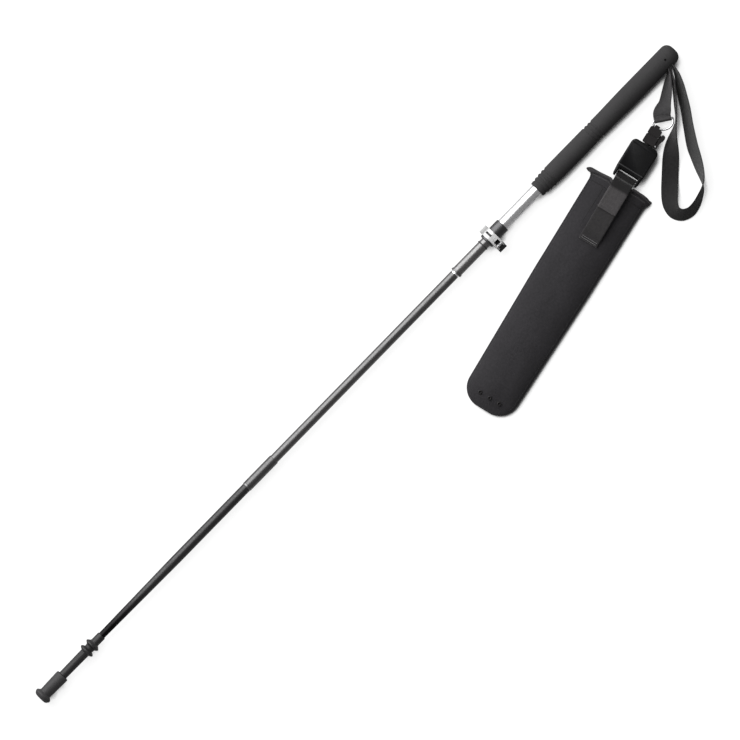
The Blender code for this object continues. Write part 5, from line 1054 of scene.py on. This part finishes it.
CLIP_SIDE = 0.0006
CLIP_EDGE = CLIP_SIDE + 0.0186 / 2
SOCKET_END = 0.0282
PIVOT = (SOCKET_END - 0.0022, CLIP_EDGE + 0.0020)
LATCH_TIP = PIVOT[0] - 0.0205
LATCH_GAP = 0.0019
side = CLIP_EDGE + FIT
pad = [(PIVOT[0] + 0.0018, side), (PIVOT[0] + 0.0024, PIVOT[1]), (PIVOT[0] + 0.0018, side + 0.0046),
       (LATCH_TIP + 0.0140, side + 0.0048), (LATCH_TIP + 0.0100, side + 0.0066),
       (LATCH_TIP + 0.0072, side + 0.0078), (LATCH_TIP + 0.0030, side + 0.0078),
       (LATCH_TIP + 0.0010, side + 0.0068), (LATCH_TIP, side + 0.0046),
       (LATCH_TIP + 0.0004, side + LATCH_GAP), (PIVOT[0] - 0.0020, side), (PIVOT[0] + 0.0018, side)]
latch = slab("latch_pad", eased(pad, 0.0020)[:-1], -0.0024, 0.0024, PLASTIC, "release_latch")
carve(latch, drill(0.0013, 24, CHAIN @ Matrix.Translation((PIVOT[0], PIVOT[1], 0.0))))
guard = [(SOCKET_END - 0.0046, CLIP_EDGE - 0.0010), (SOCKET_END - 0.0046, PIVOT[1] + 0.0016),
         (LATCH_TIP + 0.0140, side + 0.0040), (LATCH_TIP + 0.0080, side + 0.0052),
         (LATCH_TIP + 0.0034, side + 0.0050), (LATCH_TIP + 0.0022, CLIP_EDGE + FIT),
         (0.0148, CLIP_EDGE + FIT), (0.0148, CLIP_EDGE - 0.0010)]
slab("latch_guard", guard, -0.0041, -0.0029, PLASTIC, "release_socket", hide=False, round_off=0.0003)
print("latch from", round(LATCH_TIP * 1000, 1), "to", round(PIVOT[0] * 1000, 1), "mm along the tether")

# %% [markdown]
# The retractor's lower end has a raised rib across its face, a lip between the arms, and a pale rod past
# the lip. The rib's lighter plastic paints a highlight along it, and the rod's pale colour paints a bright
# highlight line across the case's end. These are too fine for the solids, so they are added here, each
# sunk a little into the case that carries it.

# %% Case trim
CASE_END = 0.0780
CASE_TOP = 0.0100
ARM_INSIDE = 0.0160
rib = eased([(CASE_END - 0.0052, 0.0), (CASE_END - 0.0052, 0.0192), (CASE_END - 0.0036, 0.0196),
             (CASE_END - 0.0036, -0.0196), (CASE_END - 0.0052, -0.0192), (CASE_END - 0.0052, 0.0)],
            0.0005)[:-1]
slab("case_rib", rib, CASE_TOP - 0.0010, CASE_TOP + 0.0004, LIT_RIB_PLASTIC, "case_front", hide=False,
     round_off=0.0004)
lip = [(CASE_END - 0.0004, -ARM_INSIDE + FIT), (CASE_END - 0.0004, ARM_INSIDE - FIT),
       (CASE_END + 0.0014, ARM_INSIDE - FIT), (CASE_END + 0.0014, -ARM_INSIDE + FIT)]
slab("case_lip", lip, -0.0060, 0.0020, CASE_PLASTIC, "case_front", hide=False, round_off=0.0004)
# A pale rod past the lip: its colour paints a bright highlight line across the case's end.
mesh = bmesh.new()
rod_line = [CHAIN @ Vector((CASE_END + 0.0027, across, 0.0030))
            for across in (-0.0165, -0.0080, 0.0, 0.0080, 0.0165)]
sweep(mesh, rod_line, 0.0008, UP)
place_piece("bright_line_rod", mesh, PALE_HIGHLIGHT_ROD, "case_front", hide=False)
print("case trim", 3)

# The line pays out between the quick release and the case: the run in sight stretches as they part.
cord_piece("tether_line_out", "tether_line", 0.00065, (SOCKET_END + 0.0003, SOCKET_END + 0.0058),
           frame=CHAIN)

# %% [markdown]
# The holster's front is laminated cloth over foam. It stands up from a flat seam at both edges, is
# fullest along the middle and closes down at the bottom. The sheet is lofted from many stations, with a
# turned seam at the edge, a pressed stitch line inside it, and slow creases from noise. The creases fade
# out at the seam, where the cloth is held.

# %% Holster front
MOUTH = 0.1030
HOLSTER_LENGTH = 0.3730
HOLSTER_END = MOUTH + HOLSTER_LENGTH
NECK_HALF = 0.0445
BODY_HALF = 0.0437
BOTTOM_HALF = 0.0395
MOUTH_HALF = 0.0500
BOTTOM_ROUND = 0.0300
FLARE = 0.0100
FRONT_THICK = 0.0035
POCKET = 0.0122
EDGE_ROLL = 0.0026
BACK_TOP = FLOOR + 0.0033
SEAM = BACK_TOP + FIT
FRONT_TOP = SEAM + POCKET + FRONT_THICK


def half_width(place):
    """Half the holster's width at a place along it."""
    along = place - MOUTH
    if along < FLARE:
        return NECK_HALF + (MOUTH_HALF - NECK_HALF) * (1 - along / FLARE) ** 2
    share = (along - FLARE) / (HOLSTER_LENGTH - FLARE)
    width = NECK_HALF + (BODY_HALF - NECK_HALF) * min(1.0, share * 3)
    if share > 0.4:
        width = BODY_HALF + (BOTTOM_HALF - BODY_HALF) * (share - 0.4) / 0.6
    left = HOLSTER_LENGTH - along
    if left < BOTTOM_ROUND:
        width -= BOTTOM_ROUND - math.sqrt(max(0.0, BOTTOM_ROUND ** 2 - (BOTTOM_ROUND - left) ** 2))
    return width


def puff(place, share):
    """Height of the pocket above the seam, from the edge (1) to the middle (0)."""
    end = min(1.0, (HOLSTER_END - place) / 0.0500)
    return POCKET * math.sin(end * math.pi / 2) * max(0.0, 1 - share ** 2) ** 0.6


def crease(place, across, share):
    """Slow waves in the cloth, none where it is sewn down."""
    calm = max(0.0, 1 - abs(share) ** 4) * min(1.0, (HOLSTER_END - place) / 0.03)
    wave = noise.noise(Vector((place * 16, across * 38, 1.7))) * 0.0011
    wave += noise.noise(Vector((place * 55, across * 70, 5.1))) * 0.0003
    return (wave - 0.0004) * calm


def front_surface(place, across, width):
    """Height of the front's outer face above the seam."""
    inside = max(width - EDGE_ROLL, 0.0010)
    share = min(1.0, abs(across) / inside)
    height = FRONT_THICK + puff(place, share) + crease(place, across, share)
    height -= 0.0016 * max(0.0, 1 - (place - MOUTH) / 0.0045) ** 2
    past = (width - abs(across)) / EDGE_ROLL
    if past < 1:
        height -= 0.0005 * math.sin(math.pi * min(1.0, max(0.0, past))) ** 2
        height -= FRONT_THICK * 0.55 * max(0.0, 1 - past * 1.6) ** 2
    return height


def mouth_rise(place, across):
    """How far the mouth's edge stands up past its straight line, each side of the strip."""
    fade = max(0.0, 1 - (place - MOUTH) / 0.030) ** 2
    clear = min(1.0, max(0.0, (abs(across) - 0.0130) / 0.0060))
    if across > 0:
        rise = 0.0060 * math.sin(min(1.0, (0.0580 - across) / 0.0260) * math.pi / 2)
    else:
        rise = 0.0032 * max(0.0, (0.0500 + across) / 0.0360)
    return rise * fade * clear ** 2 * (3 - 2 * clear)


def loft_place(share):
    """A place down the holster, whose steps grow finer toward the bottom's round."""
    return MOUTH + (HOLSTER_LENGTH - 0.0002) * (1 - (1 - share) ** 1.35)


def loft(name, rings, material, node, hide=True):
    """Join rings of points into a closed sheet, mapped in metres as it is seen from above."""
    mesh = bmesh.new()
    cloth_map = mesh.loops.layers.uv.new("cloth")
    rings = [[mesh.verts.new(point) for point in ring] for ring in rings]
    for near, far in zip(rings, rings[1:]):
        for corner in range(len(near)):
            after = (corner + 1) % len(near)
            face = mesh.faces.new((near[corner], near[after], far[after], far[corner]))
            for loop in face.loops:
                loop[cloth_map].uv = (CHAIN.inverted() @ loop.vert.co).xy
    mesh.faces.new(rings[0])
    mesh.faces.new(rings[-1][::-1])
    return place_piece(name, mesh, material, node, hide=hide, sharp=50)


FRONT_STEPS = 150
ACROSS_STEPS = 64
rings = []
for step in range(FRONT_STEPS + 1):
    place = loft_place(step / FRONT_STEPS)
    width = half_width(place)
    upper = []
    lower = []
    for index in range(ACROSS_STEPS + 1):
        spot = -math.cos(math.pi * index / ACROSS_STEPS)
        spot = 0.55 * spot + 0.45 * (-1 + 2 * index / ACROSS_STEPS)
        across = spot * width
        inside = max(width - EDGE_ROLL, 0.0010)
        edge = place - mouth_rise(place, across)
        upper.append((edge, across, SEAM - CHAIN_Z + front_surface(place, across, width)))
        lower.append((edge, across, SEAM - CHAIN_Z + puff(place, min(1.0, abs(across) / inside))))
    rings.append([CHAIN @ Vector(point) for point in upper + lower[::-1]])
front = loft("holster_front_cloth", rings, CLOTH, "holster_front")


def on_front(place, across, lift=0.0):
    """A point on the holster's front face, or above it."""
    height = SEAM - CHAIN_Z + front_surface(place, across, half_width(place)) + lift
    return CHAIN @ Vector((place - mouth_rise(place, across), across, height))


def front_layer(name, near, far, left, right, material, thick=0.0007):
    """A thin layer that lies on the holster's front between two places and two sides."""
    rings = []
    for step in range(31):
        place = near + (far - near) * step / 30
        spots = [left + (right - left) * index / 48 for index in range(49)]
        points = [on_front(place, spot, thick) for spot in spots]
        points += [on_front(place, spot, -0.0003) for spot in reversed(spots)]
        rings.append(points)
    return loft(name, rings, material, "holster_front", hide=False)


def painted_shade_line(name, places, radii):
    """A sunk dark line along places on the holster's front, which paints the shadow at an edge."""
    mesh = bmesh.new()
    points = [on_front(place, across) for place, across in places]
    sweep(mesh, points, radii, UP, sides=8)
    return place_piece(name, mesh, EDGE_SHADE_CORD, "holster_front", hide=False)


# The binding tape's flat part, and the patch that backs the belt loop, each with a dark line at its edge:
# painted shadow.
TAPE_END = MOUTH + 0.0112
TAPE_HALF = 0.0405
front_layer("rim_tape_flat", MOUTH + 0.0040, TAPE_END, -TAPE_HALF, TAPE_HALF, CLOTH)
front_layer("belt_loop_patch", MOUTH + 0.0150, MOUTH + 0.0740, -0.0200, 0.0170, CLOTH, 0.0005)
tape_edge_shade = [(TAPE_END + 0.0004, -TAPE_HALF + 0.0810 * step / 40) for step in range(41)]
painted_shade_line("rim_tape_edge_shade", tape_edge_shade,
          [0.0009 - 0.0006 * min(1.0, abs(across + 0.0150) / 0.0250) for place, across in tape_edge_shade])
patch_edge_shade = [(MOUTH + 0.0150 + 0.0590 * step / 30, -0.0204) for step in range(31)]
painted_shade_line("patch_edge_shade", patch_edge_shade, [0.0008 - 0.0006 * (step / 30) ** 3 for step in range(31)])
print("holster front faces", len(front.data.polygons))


# %% [markdown]
# The back panel lies flat on the floor. It is the same outline in thinner cloth, with a rounded edge.

# %% Holster back
BACK_STEPS = 90
top = BACK_TOP - CHAIN_Z
low = FLOOR - CHAIN_Z
rings = []
for step in range(BACK_STEPS + 1):
    place = loft_place(step / BACK_STEPS)
    width = half_width(place)
    outline = [(-width + 0.0008, low), (width - 0.0008, low), (width - 0.0002, low + 0.0006),
               (width, low + 0.0014), (width, top - 0.0008), (width - 0.0006, top), (-width + 0.0006, top),
               (-width, top - 0.0008), (-width, low + 0.0014), (-width + 0.0002, low + 0.0006)]
    rises = {side: mouth_rise(place, side * width) for side in (-1.0, 1.0)}
    rings.append([CHAIN @ Vector((place - rises[math.copysign(1.0, across)], across, height))
                  for across, height in outline])
back = loft("holster_back_cloth", rings, CLOTH, "holster_back")
print("holster back faces", len(back.data.polygons))

# %% [markdown]
# A line of stitches runs round the holster, just inside the turned edge. It follows the cloth's surface
# by asking the same height function.

# %% Holster seam stitches
line = []
for side in (-1, 1):
    run = []
    for step in range(181):
        place = MOUTH + 0.0040 + (HOLSTER_LENGTH - 0.0200) * step / 180
        width = half_width(place)
        across = side * (width - 0.0038)
        run.append(on_front(place, across))
    stitches("edge_stitches_%s" % ("left" if side < 0 else "right"), run, "holster_front")
    line.append(run)
print("stitched runs", len(line), "of", len(line[0]), "points")

# %% [markdown]
# The mouth is bound with a rolled tape. It goes over the front, round both corners and back under, as
# one closed roll.

# %% Rim binding
DOWN_HOLSTER = (CHAIN.to_3x3() @ Vector((1.0, 0.0, 0.0))).normalized()


def tape_roll(name, points, radii, sides, closed=False, hide=True):
    """A roll of binding tape, mapped in metres across the mouth and round it."""
    mesh = bmesh.new()
    sweep(mesh, points, radii, DOWN_HOLSTER, closed=closed, sides=sides)
    cloth_map = mesh.loops.layers.uv.new("cloth")
    for face in mesh.faces:
        for loop in face.loops:
            local = CHAIN.inverted() @ loop.vert.co
            loop[cloth_map].uv = (local.y, local.x + local.z)
    return place_piece(name, mesh, BINDING, "rim_binding", hide=hide, sharp=80)


roll = 0.0021
rim_place = MOUTH - roll - FIT
rim_half = MOUTH_HALF - roll * 0.6
rim_low = FLOOR - CHAIN_Z + roll
points = []
radii = []
for step in range(97):
    across = -1 + 2 * step / 96
    share = min(1.0, abs(across) * rim_half / (MOUTH_HALF - EDGE_ROLL))
    left = max(0.0, -across - 0.76) / 0.24
    right = max(0.0, across - 0.85) / 0.15
    spot = across * rim_half - 0.0052 * left
    edge = rim_place + 0.0008 - mouth_rise(MOUTH, spot) + 0.0014 * left
    height = SEAM - CHAIN_Z + puff(MOUTH, share) + FRONT_THICK * 0.65
    points.append(CHAIN @ Vector((edge, spot, height)))
    tip = math.sqrt(1 - (max(0.0, left - 0.65) / 0.40) ** 2)
    radii.append((roll + 0.0017 * min(1.0, left / 0.65)) * tip - 0.0008 * right)
far_rise = mouth_rise(MOUTH, rim_half)
points.append(CHAIN @ Vector((rim_place - far_rise, rim_half + 0.0006, rim_low + 0.0030)))
radii.append(roll * 0.8)
for step in range(25):
    rise = far_rise * (1 - step / 24)
    points.append(CHAIN @ Vector((rim_place - rise, (1 - 2 * step / 24) * (rim_half - 0.0010), rim_low)))
    radii.append(roll)
points.append(CHAIN @ Vector((rim_place + 0.0014, -rim_half - 0.0040, rim_low + 0.0026)))
radii.append(roll)
tape_roll("rim_binding_tape", points, radii, 14, closed=True)

# A second, thinner fold lies against the roll, where the tape is sewn down.
fold_points = []
for step in range(57):
    across = (-0.90 + 1.74 * step / 56) * MOUTH_HALF
    fold_points.append(on_front(MOUTH + 0.0036, across))
tape_roll("rim_sewn_fold", fold_points, 0.0011, 10, hide=False)
print("rim points", len(points), "fold points", len(fold_points))

# %% [markdown]
# The webbing strip holds the holster to the retractor and makes the belt loop. It is sewn down low on
# the front, stands clear of it for the belt, goes round the bar, and is folded back and sewn on itself.

# %% Holster strip
BAR_PLACE = 0.0860
BAR_RADIUS = 0.0020
STRIP_WIDTH = 0.0296
surface = FRONT_TOP - CHAIN_Z
low_layer = surface + 0.0046 + WEB / 2
top_layer = low_layer + WEB + FIT
sewn = surface + FIT + WEB / 2
STITCH_PLACE = MOUTH + 0.0910
FOLD_END = MOUTH + 0.0390
round_bar = BAR_RADIUS + FIT + WEB / 2
run = [
    (STITCH_PLACE, sewn), (STITCH_PLACE - 0.0080, sewn), (STITCH_PLACE - 0.0200, low_layer),
    (FOLD_END, low_layer), (MOUTH + 0.0015, low_layer), (MOUTH - 0.0040, low_layer - 0.0016),
    (MOUTH - 0.0072, low_layer - 0.0060), (MOUTH - 0.0084, low_layer - 0.0110), (BAR_PLACE + 0.0052, -0.0014),
]
run += [(BAR_PLACE + round_bar * math.cos(math.radians(a)), round_bar * math.sin(math.radians(a)))
        for a in (-80, -125, -170, -215, -262)]
run += [
    (BAR_PLACE + 0.0040, 0.0036), (MOUTH - 0.0112, low_layer - 0.0085), (MOUTH - 0.0098, low_layer - 0.0040),
    (MOUTH - 0.0062, low_layer + 0.0002), (MOUTH + 0.0010, top_layer), (MOUTH + 0.0180, top_layer),
    (FOLD_END, top_layer),
]


def lean(place):
    """The strip's drift to the right, down the holster."""
    return 0.0020 * max(0.0, place - MOUTH) / 0.0910


strip_line = curve_through([(place, lean(place), height) for place, height in run], 5)
band("holster_strip_woven", [(place, Vector((0.0, 1.0, 0.0)), STRIP_WIDTH) for place in strip_line],
     STRIP_WEBBING, "holster_strip", frame_of=CHAIN)
box = STRIP_WIDTH / 2 - 0.0030
corners = [(FOLD_END - 0.0030, -box), (FOLD_END - 0.0030, box), (MOUTH + 0.0070, box), (MOUTH + 0.0070, -box),
           (FOLD_END - 0.0030, -box)]
path = []
for (first_place, first_across), (second_place, second_across) in zip(corners, corners[1:]):
    for step in range(12):
        share = step / 12
        place = first_place + (second_place - first_place) * share
        across = first_across + (second_across - first_across) * share + lean(place)
        path.append(CHAIN @ Vector((place, across, top_layer + WEB / 2)))
stitches("strip_box_stitches", path, "holster_strip")
for number, back_by in enumerate((0.0025, 0.0055)):
    seam = [CHAIN @ Vector((STITCH_PLACE - back_by, lean(STITCH_PLACE) - box + 2 * box * step / 12,
                            sewn + WEB / 2)) for step in range(13)]
    stitches("strip_end_stitches_%d" % (number + 1), seam, "holster_strip", PALE_THREAD, gap=0.0004,
             radius=0.0004)
travelled = [0.0]
for first, second in zip(strip_line, strip_line[1:]):
    travelled.append(travelled[-1] + (second - first).length)
strip_length = travelled[-1]
print("strip length in mm", round(strip_length * 1000, 1),
      "folded back over", round((strip_length - STRIP_SHADE_END) * 1000, 1))

# %% [markdown]
# The stage is a white sheet under soft light. The key is one large lamp, low on the upper left of the
# picture, so that round things are bright on the left and dark on the right. The world is dim to cloth
# and floor, but white to the camera and to reflections. A dark card out of the camera's sight arches
# from overhead to the right, as a photographer's flag does, and gives metal its dark side. The sheet
# glows a little where nothing is near it, so only shadows close to the object stay, and a little more
# far away, where the lamp's light runs out.

# %% Stage and light
AMBIENT = 0.18
WHITE = (1.0, 1.0, 1.0, 1.0)
STAGE_MIDDLE = (0.65, 0.0, FLOOR)
SHEET_LEVEL = FLOOR - 0.0001
CARD_RADIUS = 2.0
CARD_Y = -0.02


def seen_directly(tree, mirrored=1.0):
    """One for rays from the camera, less in a mirror or glass, and nought for light that falls on things."""
    rays = add(tree, "ShaderNodeLightPath").outputs
    both = calc(tree, "ADD", rays["Is Glossy Ray"], rays["Is Transmission Ray"])
    return calc(tree, "MINIMUM", 1.0, calc(tree, "MULTIPLY_ADD", both, mirrored, rays["Is Camera Ray"]))


def stage_sheet(name, material, corners):
    """A flat strip of the stage through pairs of corners."""
    mesh = bmesh.new()
    pairs = [[mesh.verts.new(corner) for corner in pair] for pair in corners]
    for near, far in zip(pairs, pairs[1:]):
        mesh.faces.new((near[0], near[1], far[1], far[0]))
    sheet = in_scene(name, mesh)
    sheet.data.materials.append(material)
    return sheet


world = bpy.data.worlds.new("white_room")
bpy.context.scene.world = world
world.use_nodes = True
background = world.node_tree.nodes["Background"]
background.inputs["Color"].default_value = WHITE
world.node_tree.links.new(spread(world.node_tree, seen_directly(world.node_tree), 0.0, 1.0, AMBIENT, 1.0),
                          background.inputs["Strength"])

sheet_material, tree, shader = start_material("white_sheet", (0.30, 0.30, 0.30), 0.9, Specular_IOR_Level=0.0)
shader.inputs["Emission Color"].default_value = WHITE
toward_key = add(tree, "ShaderNodeCombineXYZ", {0: 0.0, 1: 0.8, 2: 0.6}).outputs[0]
near = add(tree, "ShaderNodeAmbientOcclusion", {"Distance": 0.016, "Normal": toward_key},
           samples=16).outputs["AO"]
spot = add(tree, "ShaderNodeNewGeometry").outputs["Position"]
away = add(tree, "ShaderNodeVectorMath", {0: spot, 1: STAGE_MIDDLE}, operation="DISTANCE").outputs["Value"]
glow = calc(tree, "ADD", spread(tree, near, 0.48, 0.64, 0.0, 0.85), spread(tree, away, 1.5, 4.0, 0.0, 0.3))
glow = calc(tree, "MULTIPLY", seen_directly(tree, 0.36), glow)
tree.links.new(glow, shader.inputs["Emission Strength"])
stage_sheet("floor_sheet", sheet_material, [((x, -6, SHEET_LEVEL), (x, 6, SHEET_LEVEL)) for x in (-5, 6)])

card_material, tree, shader = start_material("dark_card", (0.0, 0.0, 0.0), 1.0, Specular_IOR_Level=0.0)
shader.inputs["Emission Color"].default_value = WHITE
shader.inputs["Emission Strength"].default_value = 0.25
arch = []
for angle in (107, 90, 70, 50, 30, 14, 3):
    turn = math.radians(angle)
    arch.append([(x, CARD_Y - CARD_RADIUS * math.cos(turn), FLOOR + CARD_RADIUS * math.sin(turn))
                 for x in (-2.2, 3.5)])
card = stage_sheet("dark_card", card_material, arch)
for ray in ("camera", "diffuse", "shadow", "transmission"):
    setattr(card, "visible_" + ray, False)

key_data = bpy.data.lights.new("key", "AREA")
key_data.shape = "RECTANGLE"
key_data.size = 3.4
key_data.size_y = 3.5
key_data.energy = 135.0
key = bpy.data.objects.new("key", key_data)
key.location = (0.80, 2.00, 1.67 + FLOOR)
aim = Vector((0.80, -0.02, FLOOR)) - key.location
key.rotation_euler = aim.to_track_quat("-Z", "Y").to_euler()
key.visible_camera = False
bpy.context.scene.collection.objects.link(key)
bpy.context.scene.view_settings.view_transform = "Standard"
print("lamp", key_data.energy, "ambient", AMBIENT)
